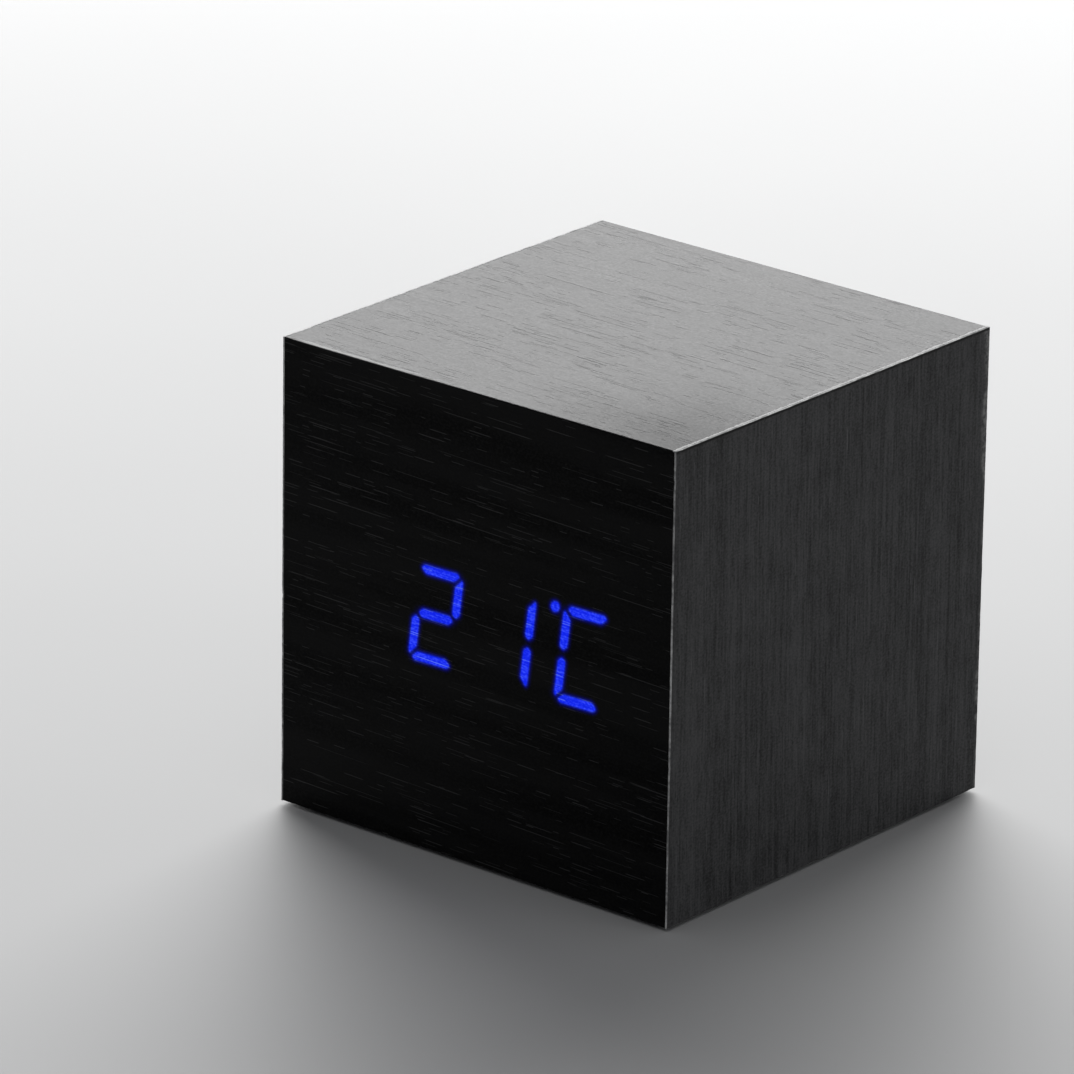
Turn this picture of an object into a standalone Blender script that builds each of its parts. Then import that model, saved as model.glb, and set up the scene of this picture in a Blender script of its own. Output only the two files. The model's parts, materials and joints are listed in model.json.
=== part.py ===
"""A wood-veneer cube clock with a built-in thermometer, as an assembly of separate pieces.

The case is six fibreboard panels: front, top, back and bottom are mitred into a square tube and
wrapped in one sheet of black veneer, and the two sides close the tube under a sheet of their own.
A four-digit LED display shines through the front veneer. The back holds the keys and the power
socket, and the base holds four AAA cells behind a hinged door.

Metres, +Z up. The origin is on the surface that the clock stands on, under the middle of the
case. The display faces -Y.
"""

import math

import bmesh
import bpy
from mathutils import Matrix, Vector

MM = 0.001

# ---------------------------------------------------------------- case
WIDTH = 68.0 * MM
DEPTH = 67.0 * MM
HEIGHT = 67.0 * MM
FOOT_HEIGHT = 0.5 * MM
FOOT_RADIUS = 3.2 * MM
FOOT_INSET = 5.0 * MM
VENEER = 0.5 * MM
SIDE_SHEET = 0.3 * MM
FOLD_RADIUS = 0.2 * MM
EDGE_ROUND = 0.06 * MM
BOARD = 4.5 * MM
GLUE = 0.1 * MM
SEAM = 0.06 * MM

FRONT = -DEPTH / 2
BACK = DEPTH / 2
RIGHT = WIDTH / 2
BASE = FOOT_HEIGHT
TOP = BASE + HEIGHT
MIDDLE = BASE + HEIGHT / 2
SKIN = VENEER + GLUE
WALL = SKIN + BOARD
TUBE_END = RIGHT - SIDE_SHEET - SEAM
INNER_FRONT = FRONT + WALL
INNER_BACK = BACK - WALL

# ---------------------------------------------------------------- display
DISPLAY_X = -0.26 * MM
DISPLAY_Z = MIDDLE + 0.4 * MM
DIGIT_PITCH = 12.7 * MM
DISPLAY_TILT = math.radians(1.07)
SLANT = math.tan(math.radians(8.05))
COLUMN = 3.37 * MM
HALF_HEIGHT = 7.08 * MM
STROKE = 1.46 * MM
DOT_RADIUS = 0.84 * MM
COLON_RISE = 3.1 * MM
DEGREE_DOT = (13.54 * MM, 6.35 * MM)
REFLECTOR_SIZE = (50.3 * MM, 19.0 * MM, 4.5 * MM)
REFLECTOR_POCKET = 0.9 * MM
GUIDE_PLATE = 0.7 * MM
GUIDE_HALF_HEIGHT = 7.9 * MM
GUIDE_EDGES = [-23.7 * MM, -12.7 * MM, 1.4 * MM, 14.55 * MM, 23.7 * MM]
WINDOW_GAP = 0.8 * MM
LIGHT_GAP = 0.08 * MM
CIRCUIT_BOARD = 1.6 * MM
DISPLAY_BOARD_SIZE = (55.0 * MM, 28.0 * MM)
DISPLAY_SCREW_AT = (24.5 * MM, 11.8 * MM)

DISPLAY_PIECES = [
    "display_reflector",
    *(f"digit_{digit}_light_guide" for digit in range(1, 5)),
    "display_board",
    "display_driver",
    "display_connector",
    "display_screw_1",
    "display_screw_2",
]

DISPLAY_FACE = FRONT + SKIN
REFLECTOR_BACK = DISPLAY_FACE + REFLECTOR_SIZE[2]
DISPLAY_BOARD_FRONT = REFLECTOR_BACK + GLUE
DISPLAY_BOARD_BACK = DISPLAY_BOARD_FRONT + CIRCUIT_BOARD

# ---------------------------------------------------------------- controls
PLATE_SIZE = (50.0 * MM, 21.0 * MM, 2.0 * MM)
PLATE_Z = BASE + 45.5 * MM
PLATE_RECESS = 1.2 * MM
PLATE_CORNER = 2.0 * MM
PLATE_FIT = 0.2 * MM
INNER_OPENING = (45.0 * MM, 17.0 * MM)
KEY_X = {"set": 17.0 * MM, "up": 8.5 * MM, "down": 0.0}
KEY_RADIUS = 2.3 * MM
KEY_FLANGE = 3.0 * MM
KEY_FLANGE_THICKNESS = 0.6 * MM
KEY_PROUD = 1.0 * MM
KEY_FIT = 0.1 * MM
KEY_GAP = 0.1 * MM
SWITCH_SIZE = 6.0 * MM
SWITCH_HOUSING = 3.5 * MM
SWITCH_HEIGHT = 4.3 * MM
PLUNGER_RADIUS = 1.7 * MM
SOCKET_X = -15.5 * MM
SOCKET_RADIUS = 3.8 * MM
SOCKET_BORE = 1.9 * MM
SOCKET_PIN = 0.65 * MM
SOCKET_DEPTH = 5.5 * MM
VENT_X = -7.6 * MM
VENT_SIZE = (5.2 * MM, 0.9 * MM)
VENT_PITCH = 2.0 * MM
SOUND_HOLE = (4.25 * MM, 6.6 * MM)
SOUND_HOLE_RADIUS = 0.6 * MM
BOSS_AT = (20.3 * MM, 6.0 * MM)
BOSS_RADIUS = 2.1 * MM
CONTROL_BOARD_SIZE = (48.0 * MM, 24.0 * MM)

PLATE_FACE = BACK - PLATE_RECESS
PLATE_INSIDE = PLATE_FACE - PLATE_SIZE[2]
PLUNGER_TOP = PLATE_INSIDE - 2 * KEY_GAP - KEY_FLANGE_THICKNESS
CONTROL_BOARD_BACK = PLUNGER_TOP - SWITCH_HEIGHT
CONTROL_BOARD_FRONT = CONTROL_BOARD_BACK - CIRCUIT_BOARD

# ---------------------------------------------------------------- power
CELL_RADIUS = 5.25 * MM
CELL_LENGTH = 44.5 * MM
CELL_NUB = (1.9 * MM, 0.8 * MM)
CELL_PITCH = 10.8 * MM
TRAY_WALL = 1.5 * MM
TRAY_INSIDE = (50.0 * MM, 44.0 * MM)
TRAY_RECESS = 0.2 * MM
TRAY_FIT = 0.2 * MM
DOOR_THICKNESS = 1.6 * MM
DOOR_GAP = 0.3 * MM
DOOR_CORNER = 1.5 * MM
TAB_SIZE = (6.0 * MM, 1.2 * MM, 0.8 * MM)
TAB_X = 14.0 * MM
LATCH_WIDTH = 9.0 * MM
CONTACT = 0.3 * MM
CONTACT_SIZE = (8.0 * MM, 8.6 * MM)
SPRING_WIRE = 0.3 * MM
SPRING_RADII = (3.1 * MM, 1.7 * MM)
SPRING_TURNS = 2.5

TRAY_BOTTOM = BASE + TRAY_RECESS
DOOR_TOP = TRAY_BOTTOM + DOOR_THICKNESS
CELL_Z = DOOR_TOP + 0.5 * MM + CELL_RADIUS
TRAY_ROOF = CELL_Z + CELL_RADIUS + 0.3 * MM
TRAY_TOP = TRAY_ROOF + TRAY_WALL
HINGE_Y = TRAY_INSIDE[1] / 2 - DOOR_GAP
TAG_TOP = TRAY_TOP + 1.6 * MM
LEAD_RADIUS = 0.65 * MM

# ---------------------------------------------------------------- small parts
SCREW_SHANK = (0.75 * MM, 5.0 * MM)
SCREW_HEAD = (1.8 * MM, 1.3 * MM)
SCREW_SLOT = (0.45 * MM, 2.4 * MM, 0.7 * MM)
RIBBON_X = -10.0 * MM
RIBBON_WIDTH = 9.0 * MM
RIBBON_THICKNESS = 0.9 * MM
RIBBON_DROP = 8.0 * MM
CONTROL_RIBBON_DROP = 8.5 * MM
PLUG_SIZE = (11.0 * MM, 4.0 * MM, 3.2 * MM)
LEG_PITCH = 1.27 * MM

ROUND_STEPS = 32
SMALL_STEPS = 20


# ---------------------------------------------------------------- tools
def material(name, colour, roughness, metallic=0.0, glow=0.0):
    """A Principled BSDF of one colour; glow makes it shine with that strength."""
    made = bpy.data.materials.new(name)
    made.use_nodes = True
    made.diffuse_color = (*colour, 1.0)
    shader = made.node_tree.nodes["Principled BSDF"]
    shader.inputs["Base Color"].default_value = (*colour, 1.0)
    shader.inputs["Roughness"].default_value = roughness
    shader.inputs["Metallic"].default_value = metallic
    if glow:
        shader.inputs["Emission Color"].default_value = (*colour, 1.0)
        shader.inputs["Emission Strength"].default_value = glow
    return made


def collection(name):
    made = bpy.data.collections.new(name)
    bpy.context.scene.collection.children.link(made)
    return made


def place(name, data, finish):
    """A named piece of the clock from a mesh or a curve."""
    piece = bpy.data.objects.new(name, data)
    PARTS.objects.link(piece)
    data.materials.append(finish)
    return piece


def helper(name, data):
    """A hidden shape that cuts or joins another."""
    piece = bpy.data.objects.new(name, data)
    HELPERS.objects.link(piece)
    piece.hide_render = True
    piece.display_type = "WIRE"
    return piece


def mesh_from(name, shape):
    """The mesh of a bmesh, with its round faces smooth."""
    bmesh.ops.recalc_face_normals(shape, faces=shape.faces)
    mesh = bpy.data.meshes.new(name)
    shape.to_mesh(mesh)
    shape.free()
    mesh.shade_smooth()
    mesh.set_sharp_from_angle(angle=math.radians(30))
    return mesh


def add_block(shape, low, high):
    """Adds a box between two corners to a bmesh and returns its vertices."""
    low, high = Vector(low), Vector(high)
    size = high - low
    move = Matrix.Translation((low + high) / 2) @ Matrix.Diagonal((*size, 1.0))
    return bmesh.ops.create_cube(shape, size=1.0, matrix=move)["verts"]


def block_mesh(name, *boxes):
    """One mesh of the boxes, each given by its two corners."""
    shape = bmesh.new()
    for low, high in boxes:
        add_block(shape, low, high)
    return mesh_from(name, shape)


def rounded_block_mesh(name, low, high, radius, along):
    """A box whose four edges along one axis (0 x, 1 y, 2 z) are rounded."""
    shape = bmesh.new()
    add_block(shape, low, high)
    edges = [
        edge
        for edge in shape.edges
        if abs((edge.verts[0].co - edge.verts[1].co).normalized()[along]) > 0.5
    ]
    bmesh.ops.bevel(
        shape, geom=edges, offset=radius, segments=4, profile=0.5, affect="EDGES"
    )
    return mesh_from(name, shape)


def add_cylinder(shape, start, end, radius, steps=SMALL_STEPS):
    """Adds a closed cylinder between two points to a bmesh."""
    start, end = Vector(start), Vector(end)
    turn = (end - start).to_track_quat("Z", "Y").to_matrix().to_4x4()
    bmesh.ops.create_cone(
        shape,
        cap_ends=True,
        segments=steps,
        radius1=radius,
        radius2=radius,
        depth=(end - start).length,
        matrix=Matrix.Translation((start + end) / 2) @ turn,
    )


def cylinder_mesh(name, *rods, steps=SMALL_STEPS):
    """One mesh of the cylinders, each given by start, end and radius."""
    shape = bmesh.new()
    for start, end, radius in rods:
        add_cylinder(shape, start, end, radius, steps)
    return mesh_from(name, shape)


def prism_mesh(name, outlines, y_near, y_far):
    """One mesh of the flat outlines in x and z, each drawn out from y_near to y_far."""
    shape = bmesh.new()
    for outline in outlines:
        corners = [shape.verts.new((x, y_near, z)) for x, z in outline]
        face = shape.faces.new(corners)
        drawn = bmesh.ops.extrude_face_region(shape, geom=[face])["geom"]
        moved = [item for item in drawn if isinstance(item, bmesh.types.BMVert)]
        bmesh.ops.translate(shape, vec=(0, y_far - y_near, 0), verts=moved)
    return mesh_from(name, shape)


def turned(name, profile, origin, direction, finish, steps=ROUND_STEPS):
    """A turned piece. The profile runs from top to bottom as (radius, height) along direction."""
    mesh = bpy.data.meshes.new(name)
    edges = [(i, i + 1) for i in range(len(profile) - 1)]
    mesh.from_pydata([(r, 0, h) for r, h in profile], edges, [])
    piece = place(name, mesh, finish)
    piece.location = origin
    piece.rotation_mode = "QUATERNION"
    piece.rotation_quaternion = Vector(direction).to_track_quat("Z", "Y")
    spin = piece.modifiers.new("turn", "SCREW")
    spin.steps = spin.render_steps = steps
    spin.use_merge_vertices = True
    spin.merge_threshold = 0.01 * MM
    spin.use_smooth_shade = True
    return piece


def boolean(piece, other, operation):
    change = piece.modifiers.new(operation.lower(), "BOOLEAN")
    change.operation = operation
    change.object = other
    return piece


def cut(piece, mesh):
    return boolean(piece, helper(piece.name + "_cutter", mesh), "DIFFERENCE")


def join(piece, mesh):
    return boolean(piece, helper(piece.name + "_addition", mesh), "UNION")


def bevel(piece, width, segments=2):
    change = piece.modifiers.new("round", "BEVEL")
    change.width = width
    change.segments = segments
    change.limit_method = "ANGLE"
    change.angle_limit = math.radians(50)
    return piece


def smooth_route(points, step):
    """Points at most about a step apart on a Catmull-Rom curve through the route's own points."""
    route = [Vector(p) for p in points]
    ends = [2 * route[0] - route[1], *route, 2 * route[-1] - route[-2]]
    found = [route[0]]
    for a, b, c, d in zip(ends, ends[1:], ends[2:], ends[3:]):
        count = max(2, round((c - b).length / step))
        for i in range(1, count + 1):
            t = i / count
            found.append(
                0.5
                * (
                    2 * b
                    + (c - a) * t
                    + (2 * a - 5 * b + 4 * c - d) * t**2
                    + (3 * b - 3 * c + d - a) * t**3
                )
            )
    return found


def wire_curve(name, points, radius):
    """A round wire along the points, with closed ends."""
    curve = bpy.data.curves.new(name, "CURVE")
    curve.dimensions = "3D"
    curve.bevel_depth = radius
    curve.bevel_resolution = 2
    curve.use_fill_caps = True
    spline = curve.splines.new("POLY")
    spline.points.add(len(points) - 1)
    for point, at in zip(spline.points, points):
        point.co = (*at, 1.0)
    return curve


def mesh_of_curve(name, curve):
    """The curve as a mesh with its caps welded on, so that a Boolean can take it."""
    source = bpy.data.objects.new(name, curve)
    HELPERS.objects.link(source)
    bpy.context.view_layer.update()
    graph = bpy.context.evaluated_depsgraph_get()
    mesh = bpy.data.meshes.new_from_object(source.evaluated_get(graph))
    bpy.data.objects.remove(source)
    shape = bmesh.new()
    shape.from_mesh(mesh)
    bmesh.ops.remove_doubles(shape, verts=shape.verts, dist=0.001 * MM)
    return mesh_from(name, shape)


def drawn_along_x(name, outlines, reach):
    """The outlines in y and z, where one inside another is a hole, drawn out along X both ways."""
    curve = bpy.data.curves.new(name, "CURVE")
    curve.dimensions = "2D"
    curve.fill_mode = "BOTH"
    curve.extrude = reach
    for outline in outlines:
        spline = curve.splines.new("POLY")
        spline.points.add(len(outline) - 1)
        for point, (y, z) in zip(spline.points, outline):
            point.co = (y, z, 0.0, 1.0)
        spline.use_cyclic_u = True
    mesh = mesh_of_curve(name, curve)
    mesh.transform(Matrix(((0, 0, 1, 0), (1, 0, 0, 0), (0, 1, 0, 0), (0, 0, 0, 1))))
    return mesh


# ---------------------------------------------------------------- case
def mitred_board(name, width, span, turn):
    """One wall of the square tube: a board whose two long edges are cut at 45 degrees.

    width is the tube's outer size across the board, and span its outer size from this board to
    the one opposite. turn is the angle about X from the top of the tube to this wall.
    """
    outer = width / 2 - SKIN - SEAM
    shape = bmesh.new()
    corners = add_block(
        shape, (-TUBE_END, -outer, -BOARD / 2), (TUBE_END, outer, BOARD / 2)
    )
    for corner in corners:
        if corner.co.z < 0:
            corner.co.y *= (outer - BOARD) / outer
    board = place(name, mesh_from(name, shape), FIBREBOARD)
    reach = span / 2 - SKIN - BOARD / 2
    facing = Matrix.Rotation(turn, 3, "X") @ Vector((0, 0, 1))
    board.location = Vector((0, 0, MIDDLE)) + facing * reach
    board.rotation_euler = (turn, 0, 0)
    return board


def case_boards():
    front = mitred_board("front_board", HEIGHT, DEPTH, math.radians(90))
    mitred_board("top_board", DEPTH, HEIGHT, 0.0)
    back = mitred_board("back_board", HEIGHT, DEPTH, math.radians(-90))
    bottom = mitred_board("bottom_board", DEPTH, HEIGHT, math.radians(180))
    return front, back, bottom


def side_panels():
    """The two boards that close the tube, and the veneer over each end."""
    half_depth = DEPTH / 2 - WALL - SEAM
    low, high = BASE + WALL + SEAM, TOP - WALL - SEAM
    for name, sign in (("left", -1), ("right", 1)):
        ends = sorted((sign * (TUBE_END - BOARD), sign * TUBE_END))
        mesh = block_mesh(
            name, ((ends[0], -half_depth, low), (ends[1], half_depth, high))
        )
        place(name + "_board", mesh, FIBREBOARD)
        ends = sorted((sign * (RIGHT - SIDE_SHEET), sign * RIGHT))
        mesh = block_mesh(name, ((ends[0], FRONT, BASE), (ends[1], BACK, TOP)))
        bevel(place(name + "_veneer", mesh, SIDE_VENEER), EDGE_ROUND)


def rounded_outline(low, high, radius, steps=4):
    """A rectangle in y and z between two corners, with its own corners rounded."""
    quarter_turns = ((high, high, 0), (low, high, 1), (low, low, 2), (high, low, 3))
    points = []
    for (corner_y, _), (_, corner_z), turn in quarter_turns:
        centre_y = corner_y - math.copysign(radius, corner_y - (low[0] + high[0]) / 2)
        centre_z = corner_z - math.copysign(radius, corner_z - (low[1] + high[1]) / 2)
        for i in range(steps + 1):
            angle = math.radians(90) * (turn + i / steps)
            points.append(
                (centre_y + radius * math.cos(angle), centre_z + radius * math.sin(angle))
            )
    return points


def wrap_veneer():
    """The sheet that folds round the front, top, back and bottom of the tube."""
    outer = rounded_outline((FRONT, BASE), (BACK, TOP), FOLD_RADIUS)
    near, far = FRONT + VENEER, BACK - VENEER
    low, high = BASE + VENEER, TOP - VENEER
    inner = [(near, low), (far, low), (far, high), (near, high)]
    mesh = drawn_along_x("wrap_veneer", [outer, inner], TUBE_END)
    return place("wrap_veneer", mesh, WRAP_VENEER)


def plate_box(size, depth_near, depth_far, radius):
    """A box with rounded corners, centred on the control plate, between two depths."""
    return rounded_block_mesh(
        "plate_box",
        (-size[0] / 2, depth_near, PLATE_Z - size[1] / 2),
        (size[0] / 2, depth_far, PLATE_Z + size[1] / 2),
        radius,
        1,
    )


def case_openings(front, back, bottom, sheet):
    """The display window, the recess for the controls and the battery opening."""
    half = (REFLECTOR_SIZE[0] / 2 + WINDOW_GAP, REFLECTOR_SIZE[1] / 2 + WINDOW_GAP)
    window = block_mesh(
        "window",
        (
            (DISPLAY_X - half[0], FRONT, DISPLAY_Z - half[1]),
            (DISPLAY_X + half[0], INNER_FRONT + BOARD, DISPLAY_Z + half[1]),
        ),
    )
    cut(front, window)

    recess = (PLATE_SIZE[0] + 2 * PLATE_FIT, PLATE_SIZE[1] + 2 * PLATE_FIT)
    ledge = PLATE_INSIDE - GLUE
    outside = BACK + BOARD
    cut(back, plate_box(recess, ledge, outside, PLATE_CORNER))
    cut(back, plate_box(INNER_OPENING, INNER_BACK - BOARD, outside, PLATE_CORNER))
    cut(sheet, plate_box(recess, ledge, outside, PLATE_CORNER))

    half = [side / 2 + TRAY_WALL + TRAY_FIT for side in TRAY_INSIDE]
    opening = ((-half[0], -half[1], -BOARD), (half[0], half[1], BASE + 2 * BOARD))
    cut(bottom, block_mesh("opening", opening))
    cut(sheet, block_mesh("opening", opening))


def feet():
    for number, (x, y) in enumerate(((-1, -1), (1, -1), (1, 1), (-1, 1)), 1):
        at = (x * (RIGHT - FOOT_INSET), y * (BACK - FOOT_INSET))
        height = FOOT_HEIGHT - GLUE / 2
        mesh = cylinder_mesh(
            "foot", ((*at, 0.0), (*at, height), FOOT_RADIUS), steps=ROUND_STEPS
        )
        place(f"foot_{number}", mesh, RUBBER)


# ---------------------------------------------------------------- display
def segment_outlines():
    """The seven bars of a digit as outlines about its middle, before the slant."""
    half = STROKE / 2
    row = HALF_HEIGHT
    bar = [
        (-COLUMN - 0.05 * MM, row - 0.6 * MM),
        (-COLUMN + 0.45 * MM, row),
        (COLUMN - 0.45 * MM, row),
        (COLUMN + 0.05 * MM, row - 0.6 * MM),
        (COLUMN - 0.85 * MM, row - STROKE),
        (-COLUMN + 0.85 * MM, row - STROKE),
    ]
    middle = [
        (-COLUMN + 0.3 * MM, 0.0),
        (-COLUMN + 0.95 * MM, half),
        (COLUMN - 0.95 * MM, half),
        (COLUMN - 0.3 * MM, 0.0),
        (COLUMN - 0.95 * MM, -half),
        (-COLUMN + 0.95 * MM, -half),
    ]
    post = [
        (COLUMN, 0.40 * MM),
        (COLUMN - half, 1.0 * MM),
        (COLUMN - half, row - 2.0 * MM),
        (COLUMN + 0.38 * MM, row - 0.82 * MM),
        (COLUMN + half, row - 1.2 * MM),
        (COLUMN + half, 1.0 * MM),
    ]

    def flipped(outline, x, z):
        return [(x * a, z * b) for a, b in outline]

    return {
        "a": bar,
        "b": post,
        "c": flipped(post, 1, -1),
        "d": flipped(bar, 1, -1),
        "e": flipped(post, -1, -1),
        "f": flipped(post, -1, 1),
        "g": middle,
    }


def dot_outline(x, z):
    """A small round window."""
    steps = [2 * math.pi * i / SMALL_STEPS for i in range(SMALL_STEPS)]
    return [(x + DOT_RADIUS * math.cos(a), z + DOT_RADIUS * math.sin(a)) for a in steps]


def in_display(outline, digit=None):
    """Takes an outline from a digit's middle, or the display's, to its slanted place."""
    shift = 0.0 if digit is None else (digit - 2.5) * DIGIT_PITCH
    return [(DISPLAY_X + shift + x + SLANT * z, DISPLAY_Z + z) for x, z in outline]


def grown(outline, margin):
    """A convex outline with every edge moved out by the margin."""
    points = [Vector(p) for p in outline]
    area = sum(a.cross(b) for a, b in zip(points, points[1:] + points[:1]))
    turn = 1 if area > 0 else -1
    count = len(points)
    moved = []
    for i, point in enumerate(points):
        before = (point - points[i - 1]).normalized()
        after = (points[(i + 1) % count] - point).normalized()
        out = [turn * Vector((d.y, -d.x)) for d in (before, after)]
        middle = (out[0] + out[1]).normalized()
        moved.append(tuple(point + middle * margin / middle.dot(out[0])))
    return moved


def display_windows():
    """The outlines of each light guide: a digit's bars, with the colon or the degree dot."""
    windows = {}
    for digit in range(1, 5):
        windows[digit] = [in_display(o, digit) for o in segment_outlines().values()]
    windows[2] += [in_display(dot_outline(0.0, s * COLON_RISE)) for s in (1, -1)]
    windows[3].append(in_display(dot_outline(*DEGREE_DOT)))
    return windows


def display_turn():
    """The slight turn at which the whole display is glued into the case."""
    middle = Matrix.Translation((DISPLAY_X, 0, DISPLAY_Z))
    return middle @ Matrix.Rotation(-DISPLAY_TILT, 4, "Y") @ middle.inverted()


def tilt_with_display(name):
    """Turns a finished piece, and the shapes that cut or join it, with the display."""
    piece = bpy.data.objects[name]
    others = [step.object for step in piece.modifiers if step.type == "BOOLEAN"]
    for thing in [piece, *others]:
        thing.matrix_basis = display_turn() @ thing.matrix_basis


def slanted_box(left, right, half_height):
    return in_display(
        [
            (left, -half_height),
            (right, -half_height),
            (right, half_height),
            (left, half_height),
        ]
    )


def display_module():
    """The reflector block, and the four clear guides that carry the light to the veneer."""
    windows = display_windows()
    half = (REFLECTOR_SIZE[0] / 2, REFLECTOR_SIZE[1] / 2)
    mesh = block_mesh(
        "display_reflector",
        (
            (DISPLAY_X - half[0], DISPLAY_FACE, DISPLAY_Z - half[1]),
            (DISPLAY_X + half[0], REFLECTOR_BACK, DISPLAY_Z + half[1]),
        ),
    )
    reflector = place("display_reflector", mesh, BLACK_PLASTIC)
    pocket = slanted_box(
        GUIDE_EDGES[0] - GLUE, GUIDE_EDGES[-1] + GLUE, GUIDE_HALF_HEIGHT + GLUE
    )
    floor = REFLECTOR_BACK - REFLECTOR_POCKET
    cut(reflector, prism_mesh("pocket", [pocket], floor, REFLECTOR_BACK + BOARD))
    holes = [grown(o, LIGHT_GAP) for group in windows.values() for o in group]
    cut(reflector, prism_mesh("holes", holes, DISPLAY_FACE - BOARD, REFLECTOR_BACK))

    plate_near = REFLECTOR_BACK - GLUE - GUIDE_PLATE
    for digit, outlines in windows.items():
        left, right = GUIDE_EDGES[digit - 1], GUIDE_EDGES[digit]
        plate = slanted_box(left + GLUE / 2, right - GLUE / 2, GUIDE_HALF_HEIGHT)
        name = f"digit_{digit}_light_guide"
        mesh = prism_mesh(name, [plate], plate_near, REFLECTOR_BACK - GLUE)
        guide = place(name, mesh, LIT_GUIDE if digit > 1 else CLEAR_GUIDE)
        face = DISPLAY_FACE + GLUE
        join(guide, prism_mesh(name, outlines, face, plate_near + GUIDE_PLATE / 2))


def display_board(front_board):
    """The circuit board behind the display, its driver chip, its plug and its two screws."""
    half = (DISPLAY_BOARD_SIZE[0] / 2, DISPLAY_BOARD_SIZE[1] / 2)
    mesh = block_mesh(
        "display_board",
        (
            (-half[0], DISPLAY_BOARD_FRONT, DISPLAY_Z - half[1]),
            (half[0], DISPLAY_BOARD_BACK, DISPLAY_Z + half[1]),
        ),
    )
    board = place("display_board", mesh, GREEN_BOARD)
    head = DISPLAY_BOARD_BACK + GLUE
    for number, sign in ((1, -1), (2, 1)):
        at = (sign * DISPLAY_SCREW_AT[0], head, DISPLAY_Z - sign * DISPLAY_SCREW_AT[1])
        screw(f"display_screw_{number}", at, (0, 1, 0))
        screw_hole(board, at, (0, -1, 0))
        screw_hole(front_board, display_turn() @ Vector(at), (0, -1, 0))
    chip("display_driver", (8.0 * MM, DISPLAY_BOARD_BACK, DISPLAY_Z + 1.0 * MM), 1, 10)
    plug_block(
        "display_connector", (RIBBON_X, DISPLAY_BOARD_BACK, DISPLAY_Z - RIBBON_DROP), 1
    )


# ---------------------------------------------------------------- small parts
def screw(name, at, outward):
    """A pan-head screw with a cross slot. at is under its head, and outward points out of it."""
    radius, length = SCREW_SHANK
    head_radius, head_height = SCREW_HEAD
    profile = [
        (0.0, head_height),
        (head_radius * 0.6, head_height * 0.95),
        (head_radius * 0.9, head_height * 0.6),
        (head_radius, 0.0),
        (radius, 0.0),
        (radius, -length + 0.8 * MM),
        (0.0, -length),
    ]
    piece = turned(name, profile, at, outward, STEEL, SMALL_STEPS)
    width, span, depth = SCREW_SLOT
    slot = block_mesh(
        name,
        ((-width / 2, -span / 2, head_height - depth), (width / 2, span / 2, 2 * head_height)),
    )
    for turn in (0.0, math.radians(90)):
        cutter = helper(f"{name}_slot", slot)
        cutter.location = at
        facing = Vector(outward).to_track_quat("Z", "Y").to_matrix().to_4x4()
        spun = facing @ Matrix.Rotation(turn, 4, "Z")
        cutter.rotation_euler = spun.to_euler()
        boolean(piece, cutter, "DIFFERENCE")


def screw_hole(piece, at, inward):
    """A pilot hole a little wider and deeper than the screw's shank."""
    radius, length = SCREW_SHANK
    start = Vector(at) - Vector(inward) * length
    end = Vector(at) + Vector(inward) * (length + 3 * GLUE)
    cut(piece, cylinder_mesh("pilot", (start, end, radius + GLUE), steps=SMALL_STEPS))


def chip(name, at, facing, legs):
    """A chip with gull-wing legs. at is on the board, and facing is +1 or -1 along Y."""
    x, y, z = at
    length, width, height = LEG_PITCH * legs, 5.6 * MM, 1.9 * MM
    lift = facing * 2 * GLUE
    near, far = sorted((y + lift, y + facing * height))
    mesh = block_mesh(
        name, ((x - length / 2, near, z - width / 2), (x + length / 2, far, z + width / 2))
    )
    piece = place(name, mesh, BLACK_PLASTIC)
    leg_width, leg_reach, leg_height = 0.42 * MM, 1.3 * MM, 0.9 * MM
    boxes = []
    for i in range(legs):
        left = x + (i - (legs - 1) / 2) * LEG_PITCH - leg_width / 2
        near, far = sorted((y + facing * GLUE, y + facing * leg_height))
        for sign in (-1, 1):
            inner, outer = sorted(
                (z + sign * (width / 2 - 0.3 * MM), z + sign * (width / 2 + leg_reach))
            )
            boxes.append(((left, near, inner), (left + leg_width, far, outer)))
    join(piece, block_mesh(name, *boxes))


def plug_block(name, at, facing):
    """A board connector with the slot that the ribbon cable enters."""
    x, y, z = at
    half_length, half_height = PLUG_SIZE[0] / 2, PLUG_SIZE[1] / 2
    near, far = sorted((y + facing * GLUE, y + facing * PLUG_SIZE[2]))
    mesh = block_mesh(
        name, ((x - half_length, near, z - half_height), (x + half_length, far, z + half_height))
    )
    piece = place(name, mesh, WHITE_PLASTIC)
    slot = (RIBBON_WIDTH / 2 + 5 * GLUE, RIBBON_THICKNESS / 2 + 4 * GLUE)
    near, far = sorted((y + facing * PLUG_SIZE[2] * 0.4, y + facing * PLUG_SIZE[2] * 2))
    cut(piece, block_mesh(name, ((x - slot[0], near, z - slot[1]), (x + slot[0], far, z + slot[1]))))


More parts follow.
